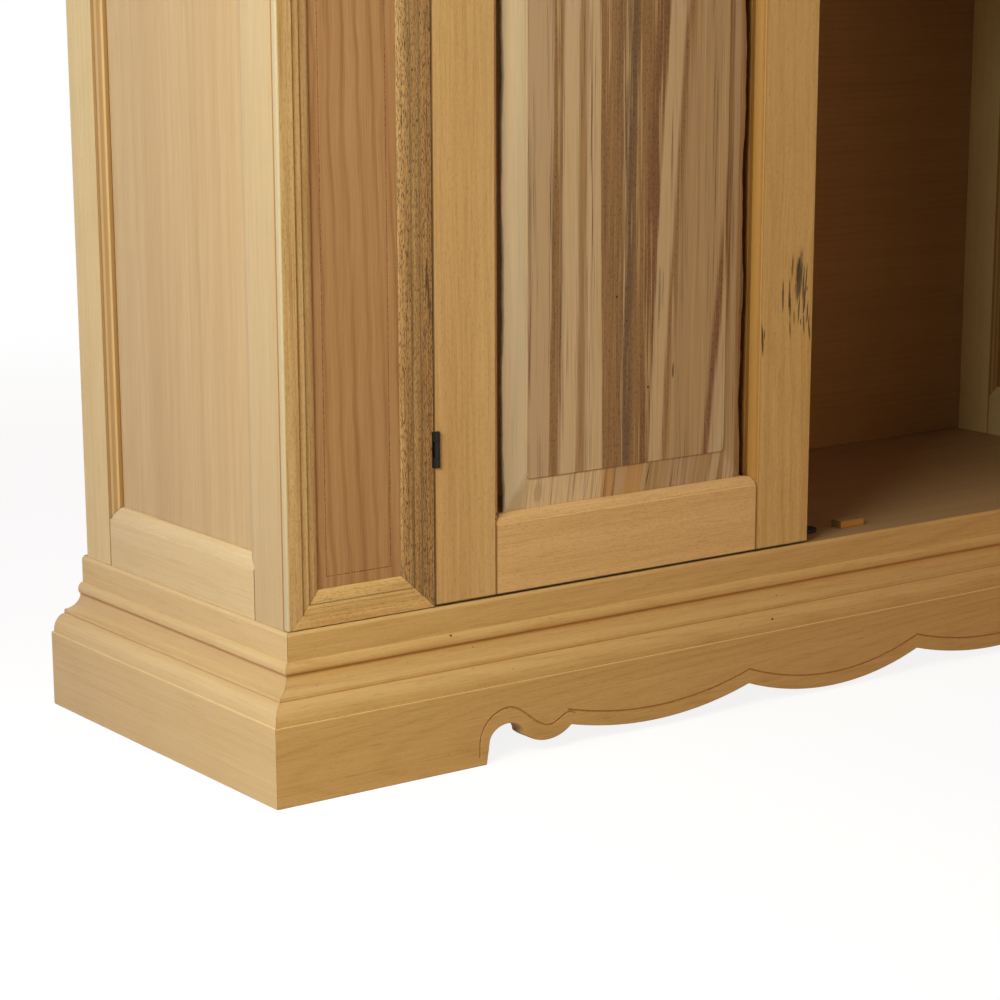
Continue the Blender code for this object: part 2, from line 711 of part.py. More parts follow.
def add_hinge(side, place, middle, axis, surface):
    """A fixed leaf with the end knuckles and pin, and a swinging leaf with the middle knuckle."""
    name = f"{SIDE_NAMES[side]}_{place}_hinge"
    low = middle - HINGE_LENGTH / 2
    high = middle + HINGE_LENGTH / 2
    inner_low = low + END_KNUCKLE + KNUCKLE_GAP
    inner_high = high - END_KNUCKLE - KNUCKLE_GAP
    fixed = block((PILASTER_EDGE - LEAF_THICK, leaf_front(), low), (PILASTER_EDGE, leaf_rear(), high))
    fixed_leaf = add_piece(f"{name}_frame_leaf", fixed, side, surface)
    arm_rear = leaf_front() + LEAF_THICK
    arm_front = PIVOT.y - LEAF_THICK / 2
    arm_left = PILASTER_EDGE - LEAF_THICK + FIT
    ends = []
    for end_low, end_high in ((low, low + END_KNUCKLE), (high - END_KNUCKLE, high)):
        arm_low = max(end_low, low + FIT)
        arm_high = min(end_high, high - FIT)
        ends.append(knuckle(end_low, end_high))
        ends.append(block(
            (arm_left, arm_front, arm_low), (PILASTER_EDGE - FIT, arm_rear, arm_high)))
        ends.append(block(
            (arm_left, arm_front, arm_low), (PIVOT.x - PIN_RADIUS, arm_front + LEAF_THICK, arm_high)))
    pin_length = HINGE_LENGTH - 2 * FIT
    pin = turned(((0.0, PIN_RADIUS), (pin_length, PIN_RADIUS)), PIVOT + (low + FIT) * Z, Z, PIN_SIDES)
    fixed_tool = add_piece(f"{name}_fixed_knuckles", together(pin, *ends), side)
    shape_with(fixed_leaf, fixed_tool, "UNION")
    swing = block((DOOR_LEFT, leaf_front(), low), (DOOR_LEFT + LEAF_THICK, leaf_rear(), high))
    door_leaf = add_piece(f"{name}_door_leaf", swing, side, surface, axis)
    arm = block((DOOR_LEFT + FIT, PIVOT.y + PIN_RADIUS + PIN_PLAY, inner_low + FIT),
                (DOOR_LEFT + LEAF_THICK - FIT, arm_rear, inner_high - FIT))
    middle_tool = add_piece(
        f"{name}_middle_knuckle", together(knuckle(inner_low, inner_high), arm), side, axis=axis)
    shape_with(door_leaf, middle_tool, "UNION")
    bore_radius = PIN_RADIUS + PIN_PLAY
    bore = turned(((0.0, bore_radius), (HINGE_LENGTH, bore_radius)), PIVOT + low * Z, Z, PIN_SIDES)
    shape_with(door_leaf, add_piece(f"{name}_bore", bore, side, axis=axis), "DIFFERENCE")


# Doors

def add_door_panel(name, side, axis, surface, low, high):
    """The fielded wood panel, held at top and bottom and shrunk from the stiles."""
    left = DOOR_LEFT + DOOR_STILE + DOOR_STICK_RUN + PANEL_SHRINK
    right = DOOR_RIGHT - DOOR_STILE - DOOR_STICK_RUN - PANEL_SHRINK
    edge = DOOR_FRONT + DOOR_GROOVE_AT + FIT
    back = edge + DOOR_PANE_THICK
    step = DOOR_FRONT + FIELD_AT + FIELD_STEP
    field = DOOR_FRONT + FIELD_AT
    field_edges = (
        left + PANEL_SIDE_MARGIN, right - PANEL_SIDE_MARGIN,
        low + PANEL_END_MARGIN, high - PANEL_END_MARGIN)
    rings = (
        (left, right, low - TONGUE, high + TONGUE, back),
        (left, right, low - TONGUE, high + TONGUE, edge),
        (left + PANEL_ARRIS, right - PANEL_ARRIS, low + PANEL_ARRIS, high - PANEL_ARRIS, edge),
        (*field_edges, step),
        (*field_edges, field),
    )
    bm = bmesh.new()
    corners = []
    for x0, x1, z0, z1, y in rings:
        corners.append([bm.verts.new((x, y, z)) for x, z in ((x0, z0), (x1, z0), (x1, z1), (x0, z1))])
    bm.faces.new(corners[0])
    bm.faces.new(list(reversed(corners[-1])))
    for near, far in zip(corners, corners[1:]):
        for index in range(4):
            after = (index + 1) % 4
            bm.faces.new((near[after], near[index], far[index], far[after]))
    add_piece(f"{name}_panel", face_out(bm), side, surface, axis)


def add_door(side, axis, surfaces):
    """Two stiles, three rails, a wood panel and a glass pane."""
    name = f"{SIDE_NAMES[side]}_door"
    wood = surfaces["door_wood"]
    bottom_edge = DOOR_BOTTOM + DOOR_RAIL
    mid_low = FLOOR + MID_RAIL_AT
    mid_high = mid_low + DOOR_RAIL
    top_edge = DOOR_TOP - DOOR_RAIL
    rails = ((DOOR_BOTTOM - OVER, bottom_edge), (mid_low, mid_high), (top_edge, DOOR_TOP + OVER))
    section = [(0.0, DOOR_THICK), (0.0, 0.0)]
    for stile, edge, across in (("hinge_stile", DOOR_LEFT, X), ("meeting_stile", DOOR_RIGHT, -X)):
        corner = Vector((edge, DOOR_FRONT, 0.0))
        shape = bar(
            section + door_edge(DOOR_STILE), corner + DOOR_BOTTOM * Z, corner + DOOR_TOP * Z, across, Y)
        piece = add_piece(f"{name}_{stile}", shape, side, wood, axis)
        notches = stile_notches(corner, across, Y, DOOR_STILE, DOOR_STICK_RUN + OVER, DOOR_THICK, rails)
        shape_with(piece, add_piece(f"{name}_{stile}_notches", notches, side, axis=axis), "DIFFERENCE")
        if stile == "hinge_stile":
            pockets = add_piece(f"{name}_pockets", knuckle_pockets(), side, axis=axis)
            shape_with(piece, pockets, "DIFFERENCE")
            seats = add_piece(f"{name}_leaf_recess", door_leaf_recesses(), side, axis=axis)
            shape_with(piece, seats, "DIFFERENCE")
    rail_left = DOOR_LEFT + DOOR_STILE + FIT
    rail_right = DOOR_RIGHT - DOOR_STILE - FIT
    for rail, height, across in (("bottom_rail", DOOR_BOTTOM, Z), ("top_rail", DOOR_TOP, -Z)):
        shape = mitred_rail(
            section + door_edge(DOOR_RAIL), (rail_left, DOOR_FRONT, height),
            (rail_right, DOOR_FRONT, height), across, Y, ((DOOR_RAIL, across),))
        add_piece(f"{name}_{rail}", shape, side, wood, axis)
    upper = door_edge(DOOR_RAIL)
    lower = [(DOOR_RAIL - u, v) for u, v in reversed(upper)]
    mid = mitred_rail(
        lower + upper, (rail_left, DOOR_FRONT, mid_low), (rail_right, DOOR_FRONT, mid_low),
        Z, Y, ((DOOR_RAIL, Z), (0.0, -Z)))
    add_piece(f"{name}_mid_rail", mid, side, wood, axis)
    add_door_panel(
        name, side, axis, surfaces["streaked_wood"],
        bottom_edge + DOOR_STICK_RUN, mid_low - DOOR_STICK_RUN)
    face = DOOR_FRONT + DOOR_GROOVE_AT + FIT
    tongue = DOOR_STICK_RUN - TONGUE
    pane = block(
        (DOOR_LEFT + DOOR_STILE + tongue, face, mid_high + tongue),
        (DOOR_RIGHT - DOOR_STILE - tongue, face + DOOR_PANE_THICK, top_edge - tongue))
    add_piece(f"{name}_glass", pane, side, surfaces["glass"], axis)


# Inside and small pieces

def add_shelves(surface):
    """Two shelves housed in the side stiles, between the doors and the back."""
    end = SIDE_INNER - HOUSING + FIT
    front = DOOR_BACK + SHELF_FRONT_GAP
    for name, top in SHELF_TOPS.items():
        shelf = block((end, front, top - SHELF_THICK), (WIDTH - end, DEPTH - BACK_THICK - FIT, top))
        add_piece(name, shelf, LEFT, surface)


def add_floor_pieces(surfaces):
    """The wooden stop and the round black catch behind the right door."""
    middle = WIDTH / 2
    front = DOOR_BACK + STOP_GAP
    low = Vector((middle + STOP_OUT, front, FLOOR + FIT))
    high = low + Vector((STOP_WIDTH, STOP_DEPTH, STOP_HEIGHT))
    add_piece("door_stop", block(low, high), LEFT, surfaces["cream_wood"])
    foot = (middle + CATCH_OUT, front + CATCH_RADIUS, FLOOR + FIT)
    stations = (
        (0.0, CATCH_RADIUS), (CATCH_HEIGHT - CATCH_EDGE, CATCH_RADIUS),
        (CATCH_HEIGHT, CATCH_RADIUS - CATCH_EDGE))
    add_piece("floor_catch", turned(stations, foot, Z, CATCH_SIDES), LEFT, surfaces["black_metal"])


def add_knob(side, axis, surface):
    """A turned pull on the meeting stile."""
    foot = (DOOR_RIGHT - DOOR_STILE / 2, DOOR_FRONT - FIT, FLOOR + KNOB_AT)
    ball_middle = KNOB_LENGTH - KNOB_BALL_HALF
    stations = [(0.0, KNOB_ROSE), (KNOB_ROSE_THICK, KNOB_ROSE), (KNOB_NECK_OUT, KNOB_NECK)]
    for step in range(KNOB_STEPS + 1):
        share = step / KNOB_STEPS
        turn = math.radians(KNOB_BALL_FROM + (KNOB_BALL_TO - KNOB_BALL_FROM) * share)
        stations.append((ball_middle + KNOB_BALL_HALF * math.sin(turn), KNOB_BALL * math.cos(turn)))
    add_piece("door_knob", turned(stations, foot, -Y, KNOB_SIDES), side, surface, axis)


def main():
    """Clear the file and build the cabinet."""
    for old in list(bpy.data.objects):
        bpy.data.objects.remove(old, do_unlink=True)
    surfaces = make_materials()
    add_plinth(surfaces["cream_wood"])
    ring_piece("base_moulding", base_outline(), surfaces["cream_wood"], MOULDING_REAR)
    ring_piece("cornice", cornice_outline(), surfaces["cream_wood"], DEPTH)
    add_boards(surfaces)
    axes = {LEFT: door_axis(LEFT, 0.0), RIGHT: door_axis(RIGHT, OPEN_ANGLE)}
    for side, axis in axes.items():
        add_framed_side(side, surfaces)
        add_pilaster(side, surfaces)
        add_door(side, axis, surfaces)
        for place, middle in HINGE_MIDDLES.items():
            add_hinge(side, place, middle, axis, surfaces["black_metal"])
    add_shelves(surfaces["red_wood"])
    add_floor_pieces(surfaces)
    add_knob(RIGHT, axes[RIGHT], surfaces["black_metal"])


main()
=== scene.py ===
"""Looks of the display cabinet: its woods, black metal and glass, with light, floor and camera."""

import json
import math
import zlib

import bmesh
import bpy
from mathutils import Matrix, Vector


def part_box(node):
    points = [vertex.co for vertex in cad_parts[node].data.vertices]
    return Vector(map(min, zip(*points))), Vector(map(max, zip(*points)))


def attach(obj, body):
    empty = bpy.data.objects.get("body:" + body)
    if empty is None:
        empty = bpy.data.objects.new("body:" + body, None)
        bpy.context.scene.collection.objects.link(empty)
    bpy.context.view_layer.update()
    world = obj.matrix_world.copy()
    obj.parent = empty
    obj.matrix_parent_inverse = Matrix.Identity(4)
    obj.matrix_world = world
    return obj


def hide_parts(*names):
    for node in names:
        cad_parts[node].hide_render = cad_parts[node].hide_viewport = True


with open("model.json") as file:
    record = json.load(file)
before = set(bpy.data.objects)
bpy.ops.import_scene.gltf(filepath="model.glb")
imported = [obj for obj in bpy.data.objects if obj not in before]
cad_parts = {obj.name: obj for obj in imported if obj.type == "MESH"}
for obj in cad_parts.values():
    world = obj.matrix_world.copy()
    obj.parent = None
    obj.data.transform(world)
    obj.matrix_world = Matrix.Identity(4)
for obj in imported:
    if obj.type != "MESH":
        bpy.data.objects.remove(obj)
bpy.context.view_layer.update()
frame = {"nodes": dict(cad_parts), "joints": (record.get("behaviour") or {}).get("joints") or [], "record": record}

NODES = frame["nodes"]
BODY_NODES = frame["record"]["behaviour"]["bodies"]
BODIES = {node: body for body, nodes in BODY_NODES.items() for node in nodes}
JOINTS = {joint["child"]: joint for joint in frame["joints"]}

# Lengths are in millimetres and become metres with MM.
MM = 0.001

# Arrises: how far each kind of piece is eased, and the angle from which an edge is sharp
EASE_FRAME = 0.5 * MM
EASE_BOARD = 0.9 * MM
EASE_METAL = 0.3 * MM
EASE_GLASS = 0.4 * MM
EASE_STEPS = 2
SHARP_ANGLE = math.radians(30)
SMOOTH_ANGLE = math.radians(50)
CUT_ANGLE = math.radians(20)
NORMAL_WEIGHT = 50
FLAT_ANGLE = math.radians(0.4)
WELD = 1e-6

# Joints: how far a rail's ends stand back in a door and in a side, and the gap closed under a seated piece
DOOR_JOINT = 0.45 * MM
SIDE_JOINT = 0.25 * MM
SEAT = 0.3 * MM

# Door frame's moulded edge: its width in the solid, what is kept of it, and the panel's distance from it
STICK_RUN = 10.2
HINGE_SQUEEZE = 0.85
MEETING_SQUEEZE = 0.55
PANEL_SHRINK = 7.9
SIDE_STICK = 15.0

# Routed lines on the apron: distance from the swags' cut edge, and the cutter's radius
LINE_IN = 16.0
LINE_CUTTER = 1.2
LINE_STEPS = 40

# Apron's cut edge and the line round the notch, as distance from the pattern's middle and height
APRON_MIDDLE = 7.0
CUSP = (132.1, 28.9)
POINT = (385.5, 25.0)
CENTRE_LOW = (0.0, 5.3)
SWAG_LOW = (274.5, 10.0)
SWAG_LINE_OVER = 5.0
FOOT_LINE = (507.0, 22.0)
FOOT_LINE_LOW = 9.0
NOTCH_LINE_TOP = (470.0, 58.3)
LOBE_LINE_LOW = (415.0, 30.0)
POINT_LINE = (387.0, 40.0)
POINT_LINE_END = (380.0, 37.0)

# Incised rectangle on the pilaster panel: distance from the frame, and the cutter's radius
INCISED_IN = 12.0
INCISED_CUTTER = 0.75
PANEL_TONGUE = 9.0
INCISED_FROM, INCISED_TO, INCISED_END = 0.08, 0.25, 1.5
APRON_PAINT = ((0.4, (0.42, 0.22, 0.07)), (0.6, (0.53, 0.30, 0.105)))
INCISED_PAINT = ((0.4, (0.21, 0.08, 0.04)), (0.56, (0.47, 0.20, 0.10)))

# Fielded door panel, as in the solid, with a worn edge along the stiles
FIELD_STEP = 1.5
FIELD_ROUND = 5.0
FIELD_EASE = 1.1
SIDE_MARGIN = 28.0
END_MARGIN = 33.0
EDGE_THICK = 5.0
EDGE_ARRIS_IN, EDGE_ARRIS_DEEP = 0.6, 0.4
EDGE_ARRIS_WORN = 0.9
EDGE_ROUND = 0.02
EDGE_STEP = 2.5
EDGE_WAVES = ((1.5, 230.0), (0.6, 89.0), (0.25, 31.0), (0.12, 11.0))
CORNER_STEPS = 6

# Worn edges, after the panel's first and third corner: how far in, and where the waves start
WORN_EDGES = {0: (2.0, 0.7), 2: (0.0, 4.5)}

# Step round the field: sideways in eases, down in steps, and further down in eases
STEP_PROFILE = ((-1.0, 1.0, 0.0), (-0.3, 1.0, -0.25), (0.2, 0.0, 0.25), (1.0, 0.0, 0.0))

# Camera, solved from the cabinet's edges: focal length in picture widths, middle in pixels
CAMERA_PLACE = (-2.09216, -2.70734, 0.85347)
CAMERA_PITCH = math.radians(13.628)
CAMERA_YAW = math.radians(36.607)
FOCAL = 2.7144
SENSOR = 36.0
PICTURE = 1000.0
PICTURE_MIDDLE = (530.3, 592.5)


# Shader helper

MIX_FACTOR, MIX_A, MIX_B, MIX_RESULT = 0, 6, 7, 2


class Shader:
    """The node tree of a material or a world, with short ways to add and join nodes."""

    def __init__(self, owner):
        owner.use_nodes = True
        self.owner = owner
        self.tree = owner.node_tree
        self.surface = self.tree.nodes.get("Principled BSDF")

    def put(self, socket, value):
        """Join an output to a socket, or set the socket to a plain value."""
        if isinstance(value, bpy.types.NodeSocket):
            self.tree.links.new(value, socket)
        else:
            socket.default_value = value

    def add(self, kind, inputs, **settings):
        """A new node with its settings and inputs."""
        node = self.tree.nodes.new(kind)
        for key, value in settings.items():
            setattr(node, key, value)
        for key, value in inputs.items():
            self.put(node.inputs[key], value)
        return node

    def math(self, operation, a, b=0.0, c=0.0):
        """A sum on numbers."""
        return self.add("ShaderNodeMath", {0: a, 1: b, 2: c}, operation=operation).outputs[0]

    def vector(self, operation, a, b):
        """A sum on vectors."""
        return self.add("ShaderNodeVectorMath", {0: a, 1: b}, operation=operation).outputs[0]

    def reach(self, u, v):
        """How far a place lies from the middle."""
        flat = self.add("ShaderNodeCombineXYZ", {0: u, 1: v}).outputs[0]
        return self.add("ShaderNodeVectorMath", {0: flat}, operation="LENGTH").outputs["Value"]

    def axes(self, order):
        """Object coordinates with their axes in another order."""
        place = self.tree.nodes.new("ShaderNodeTexCoord").outputs["Object"]
        parts = self.add("ShaderNodeSeparateXYZ", {0: place}).outputs
        picked = {index: parts["XYZ".index(letter)] for index, letter in enumerate(order.upper())}
        return self.add("ShaderNodeCombineXYZ", picked).outputs[0]

    def noise(self, place, scale, detail=2.0, rough=0.5):
        """Soft noise with its own scale on each axis, about one half."""
        stretched = self.vector("MULTIPLY", place, scale)
        settings = {"Vector": stretched, "Scale": 1.0, "Detail": detail, "Roughness": rough}
        return self.add("ShaderNodeTexNoise", settings).outputs[0]

    def total(self, start, *terms):
        """A start value plus each signal's distance from one half, by its weight."""
        value = start
        for signal, weight in terms:
            level = self.math("SUBTRACT", signal, 0.5)
            value = self.math("MULTIPLY_ADD", level, weight, value)
        return value

    def above(self, signal, low, high):
        """Zero under low, one over high, smooth between."""
        settings = {"Value": signal, "From Min": low, "From Max": high}
        return self.add("ShaderNodeMapRange", settings, interpolation_type="SMOOTHSTEP").outputs[0]

    def ramp(self, signal, stops):
        """Colours along a signal, at places from zero to one."""
        node = self.add("ShaderNodeValToRGB", {0: signal})
        elements = node.color_ramp.elements
        while len(elements) < len(stops):
            elements.new(1.0)
        for element, (place, colour) in zip(elements, stops):
            element.position = place
            element.color = (*colour, 1.0)
        return node.outputs[0]

    def mix(self, factor, a, b):
        """From colour a to colour b."""
        inputs = {MIX_FACTOR: factor, MIX_A: self.solid(a), MIX_B: self.solid(b)}
        return self.add("ShaderNodeMix", inputs, data_type="RGBA").outputs[MIX_RESULT]

    def solid(self, colour):
        """A colour with its fourth channel, or an output as it is."""
        return colour if isinstance(colour, bpy.types.NodeSocket) else (*colour, 1.0)

    def bump(self, height, strength, distance):
        """Relief on the surface."""
        settings = {"Height": height, "Strength": strength, "Distance": distance}
        self.put(self.surface.inputs["Normal"], self.add("ShaderNodeBump", settings).outputs[0])

    def finish(self, colour, roughness, specular=0.3):
        """Join colour and roughness to the surface."""
        self.put(self.surface.inputs["Base Color"], colour)
        self.put(self.surface.inputs["Roughness"], roughness)
        self.surface.inputs["Specular IOR Level"].default_value = specular
        return self.owner


def new_material(name):
    """A shader for a new material."""
    return Shader(bpy.data.materials.new(name))


def tinted(look, red, green, blue, **changes):
    """A look with its wood colours made stronger or weaker, and other changes."""
    shares = (red, green, blue)
    colours = {
        key: tuple(level * share for level, share in zip(look[key], shares))
        for key in ("pale", "mid", "deep")}
    return dict(look, **colours, **changes)


# Woods: linear colours from pale to deep, and how strongly each feature shows
CREAM = {
    "pale": (0.70, 0.48, 0.225), "mid": (0.62, 0.40, 0.17), "deep": (0.46, 0.265, 0.09),
    "bands": 0.35, "streaks": 0.4, "fibres": 0.45, "rings": 0.08, "gap": 9.0, "wave": 1.0,
    "pore": (0.30, 0.15, 0.05), "pores": 0.25, "dashes": 0.2, "dash_from": 0.60, "specks": 0.6,
}
APRON = dict(CREAM, rings=0.1, gap=6.0)
# SIDE is the cream wood made paler and cooler for the pieces on the sides, partly its own colour and partly
# painted light
SIDE = dict(
    CREAM, pale=(0.73, 0.53, 0.275), mid=(0.665, 0.468, 0.222), deep=(0.58, 0.38, 0.165),
    rings=0.05, pores=0.12, dashes=0.1, specks=0.4)
FRONT_STILE = tinted(SIDE, 0.86, 0.885, 0.99)
REAR_STILE = tinted(SIDE, 1.07, 1.14, 1.17)
SIDE_RAIL = tinted(SIDE, 1.04, 1.09, 1.2)
PINK = dict(
    CREAM, pale=(0.635, 0.465, 0.245), mid=(0.57, 0.387, 0.195), deep=(0.49, 0.31, 0.15),
    bands=0.6, streaks=0.5, fibres=0.4, rings=0.04, pores=0.1, dashes=0.05, specks=0.2)
OLIVE = dict(
    CREAM, pale=(0.66, 0.475, 0.25), mid=(0.585, 0.392, 0.19), deep=(0.41, 0.233, 0.088),
    streaks=0.9, fibres=0.9, pores=0.35, dashes=0.5, dash_from=0.57, specks=0.7)
PILASTER_RAIL = tinted(OLIVE, 1.16, 1.12, 1.03)
SPALTED = dict(
    OLIVE, pale=(0.52, 0.32, 0.15), mid=(0.42, 0.24, 0.10), deep=(0.26, 0.125, 0.042),
    pore=(0.035, 0.02, 0.01), pores=0.5, dashes=0.85, dash_from=0.545, streaks=1.1)
BROWN = dict(
    CREAM, pale=(0.475, 0.28, 0.14), mid=(0.405, 0.215, 0.10), deep=(0.30, 0.14, 0.06),
    bands=0.5, streaks=0.45, fibres=0.7, rings=0.27, gap=15.0, wave=9.0,
    pores=0.2, dashes=0.1, specks=0.2)
TAN = dict(
    CREAM, pale=(0.73, 0.505, 0.255), mid=(0.65, 0.42, 0.20), deep=(0.50, 0.29, 0.11),
    bands=0.6, streaks=0.75, rings=0.03, dashes=0.3, dash_from=0.58, specks=0.3)
MEETING = tinted(TAN, 1.01, 1.05, 0.98, wave=8.0)
# DOOR_RAIL is the tan made brighter for the door rails, partly painted light that evens out the lamps' fall-off
# across the door
DOOR_RAIL = tinted(TAN, 1.16, 1.19, 1.27, bands=0.3, streaks=0.3)
OCHRE = tinted(CREAM, 0.78, 0.6, 0.3)
# INSIDE is a darker, redder wood inside the cabinet, partly its own colour and partly painted shade
INSIDE = dict(
    CREAM, pale=(0.46, 0.30, 0.165), mid=(0.39, 0.245, 0.128), deep=(0.29, 0.165, 0.08),
    bands=0.35, streaks=0.2, fibres=0.25, pores=0.15, dashes=0.1, specks=0.0)

# Features per metre along, across and into the grain
BAND_SCALE = (0.9, 26.0, 26.0)
STREAK_SCALE = (2.2, 130.0, 130.0)
FIBRE_SCALE = (11.0, 620.0, 620.0)
PORE_SCALE = (34.0, 900.0, 900.0)
DASH_SCALE = (200.0, 1500.0, 1500.0)
SPECK_SCALE = (16.0, 30.0, 30.0)
WARP_SCALE = (1.6, 9.0, 9.0)
WAVE_SCALE = (7.0, 14.0, 14.0)
RING_WARP = 14.0 * MM
RING_TILT = 0.06
RING_POWER = 4.0
PORE_FROM, PORE_TO = 0.62, 0.70
DASH_SPAN = 0.08
SPECK_RADIUS = 0.022
SPECK_CORE = 0.4
SPECK_SHARE = 0.55
LINE_DOT_SCALE = (420.0, 420.0, 420.0)

# Where in the log a board lies: spread of the boards, and the heart across and behind the board
SEED_START, SEED_STEP, SEED_SPAN = 3.0, 0.37, 89
HEART = (0.0, -0.03)
APRON_HEART = (0.03, -0.44)

# Tones at which a wood is pale, middling and deep, and its sawn surface
TONE_PALE, TONE_MID, TONE_DEEP = 0.2, 0.5, 0.85
FIBRE_RELIEF, FIBRE_DEPTH = 0.25, 0.12 * MM
ROUGH_LEAST, ROUGH_SPAN = 0.5, 0.12

# Marks: the reach of a straight seam, how ragged the other marks are, and the full share of each
SEAM_REACH = 4000.0
MARK_RAGGED = 0.9
MARK_SCALE = (90.0, 700.0, 700.0)
MARK_CORE = 0.5


def log_place(shader, name, order, wave=0.0):
    """Coordinates along, across and into the grain, moved to another part of the log by name."""
    seed = zlib.crc32(name.encode())
    shift = [SEED_START + (seed >> bits) % SEED_SPAN * SEED_STEP for bits in (0, 8, 16)]
    place = shader.vector("ADD", shader.axes(order), shift)
    if not wave:
        return place
    aside = shader.add("ShaderNodeCombineXYZ", {1: sway(shader, place, wave)}).outputs[0]
    return shader.vector("ADD", place, aside)


def sway(shader, place, wave):
    """How far the grain strays sideways."""
    return shader.total(0.0, (shader.noise(place, WAVE_SCALE), 2 * wave * MM))


def growth_lines(shader, name, order, heart, gap, wave):
    """Thin lines along the growth rings of a log whose heart lies a little behind the board."""
    parts = shader.add("ShaderNodeSeparateXYZ", {0: shader.axes(order)}).outputs
    log = log_place(shader, name, order)
    warp = shader.noise(log, WARP_SCALE, 3.0)
    across = shader.math("ADD", sway(shader, log, wave), shader.math("SUBTRACT", parts[1], heart[0]))
    deep = shader.math("MULTIPLY_ADD", parts[0], RING_TILT, shader.math("SUBTRACT", parts[2], heart[1]))
    radius = shader.math("MULTIPLY_ADD", warp, RING_WARP, shader.reach(across, deep))
    ripple = shader.math("SINE", shader.math("MULTIPLY", radius, 2 * math.pi / (gap * MM)))
    return shader.math("POWER", shader.math("MULTIPLY_ADD", ripple, 0.5, 0.5), RING_POWER)


def specks(shader, place):
    """Small dark points, on some cells of a scattered grid."""
    stretched = shader.vector("MULTIPLY", place, SPECK_SCALE)
    cells = shader.add("ShaderNodeTexVoronoi", {"Vector": stretched, "Scale": 1.0}, voronoi_dimensions="2D")
    near = shader.above(cells.outputs["Distance"], SPECK_RADIUS, SPECK_RADIUS * SPECK_CORE)
    chosen = shader.add("ShaderNodeSeparateColor", {0: cells.outputs["Color"]}).outputs[0]
    return shader.math("MULTIPLY", near, shader.math("GREATER_THAN", chosen, SPECK_SHARE))


def marks_on(shader, colour, parts, ragged, marks):
    """Paint ragged marks: middle along and across, half length, half width, lean, strength, colour."""
    for along, across, length, width, lean, strength, paint in marks:
        up = shader.math("SUBTRACT", parts[0], along * MM)
        straight = shader.math("SUBTRACT", parts[1], across * MM)
        side = shader.math("MULTIPLY_ADD", up, -lean, straight)
        u = shader.math("DIVIDE", up, length * MM)
        v = shader.math("DIVIDE", side, width * MM)
        away = shader.reach(u, v)
        if max(length, width) < SEAM_REACH:
            away = shader.total(away, (ragged, MARK_RAGGED))
        inside = shader.math("MULTIPLY", shader.above(away, 1.0, MARK_CORE), strength)
        colour = shader.mix(inside, colour, paint)
    return colour


def wood(name, order, look, heart=HEART, marks=(), incised=None, paint=()):
    """A sawn board: broad bands, streaks, growth lines, fibres, pores, specks and given marks."""
    shader = new_material(name)
    place = log_place(shader, name, order, look["wave"])
    fibres = shader.noise(place, FIBRE_SCALE)
    tone = shader.total(
        0.5,
        (shader.noise(place, BAND_SCALE), look["bands"]),
        (shader.noise(place, STREAK_SCALE, 3.0, 0.6), look["streaks"]),
        (fibres, look["fibres"]),
        (growth_lines(shader, name, order, heart, look["gap"], look["wave"]), look["rings"]))
    stops = ((TONE_PALE, look["pale"]), (TONE_MID, look["mid"]), (TONE_DEEP, look["deep"]))
    colour = shader.ramp(tone, stops)
    pores = shader.above(shader.noise(place, PORE_SCALE, 1.0), PORE_FROM, PORE_TO)
    dashes = shader.above(
        shader.noise(place, DASH_SCALE, 1.0), look["dash_from"], look["dash_from"] + DASH_SPAN)
    points = specks(shader, place)
    for feature, share in ((pores, "pores"), (dashes, "dashes"), (points, "specks")):
        colour = shader.mix(shader.math("MULTIPLY", feature, look[share]), colour, look["pore"])
    parts = shader.add("ShaderNodeSeparateXYZ", {0: shader.axes(order)}).outputs
    if marks:
        ragged = shader.noise(place, MARK_SCALE)
        colour = marks_on(shader, colour, parts, ragged, marks)
    if incised is not None:
        dots = shader.ramp(shader.noise(place, LINE_DOT_SCALE, 1.0), paint)
        deep = shader.above(parts[2], incised + INCISED_FROM * MM, incised + INCISED_TO * MM)
        shallow = shader.above(parts[2], incised + INCISED_END * MM, incised + LINE_CUTTER * MM)
        colour = shader.mix(shader.math("MULTIPLY", deep, shallow), colour, dots)
    shader.bump(shader.math("SUBTRACT", fibres, pores), FIBRE_RELIEF, FIBRE_DEPTH)
    roughness = shader.math("MULTIPLY_ADD", fibres, ROUGH_SPAN, ROUGH_LEAST)
    return shader.finish(colour, roughness)


# Door panel staves, across from the cabinet's corner: where each starts, how soft that edge is, its tone
STAVE_TONES = {
    # bright and dim are cream lightened and darkened, for painted light and painted shade on the margins
    "cream": (0.60, 0.475, 0.345), "bright": (0.78, 0.62, 0.45), "dim": (0.567, 0.452, 0.332),
    "pale": (0.65, 0.49, 0.34), "tan": (0.55, 0.395, 0.27), "brown": (0.32, 0.18, 0.085),
    "umber": (0.40, 0.25, 0.13), "violet": (0.18, 0.105, 0.058), "red": (0.23, 0.105, 0.047),
    "grey": (0.60, 0.44, 0.29), "streaky": (0.46, 0.31, 0.175), "orange": (0.58, 0.35, 0.165),
}
FIELD_STAVES = (
    (320.0, 0.5, "cream"), (380.0, 0.5, "brown"), (393.8, 3.0, "pale"), (416.8, 1.5, "umber"),
    (427.3, 2.0, "pale"), (447.6, 0.4, "brown"), (476.5, 4.0, "violet"), (490.9, 4.0, "brown"),
    (507.6, 3.0, "red"), (523.2, 1.0, "grey"), (543.0, 2.0, "brown"), (553.0, 4.0, "streaky"),
    (612.0, 3.0, "red"), (622.5, 2.0, "tan"), (632.0, 1.5, "cream"), (643.0, 1.5, "umber"),
)
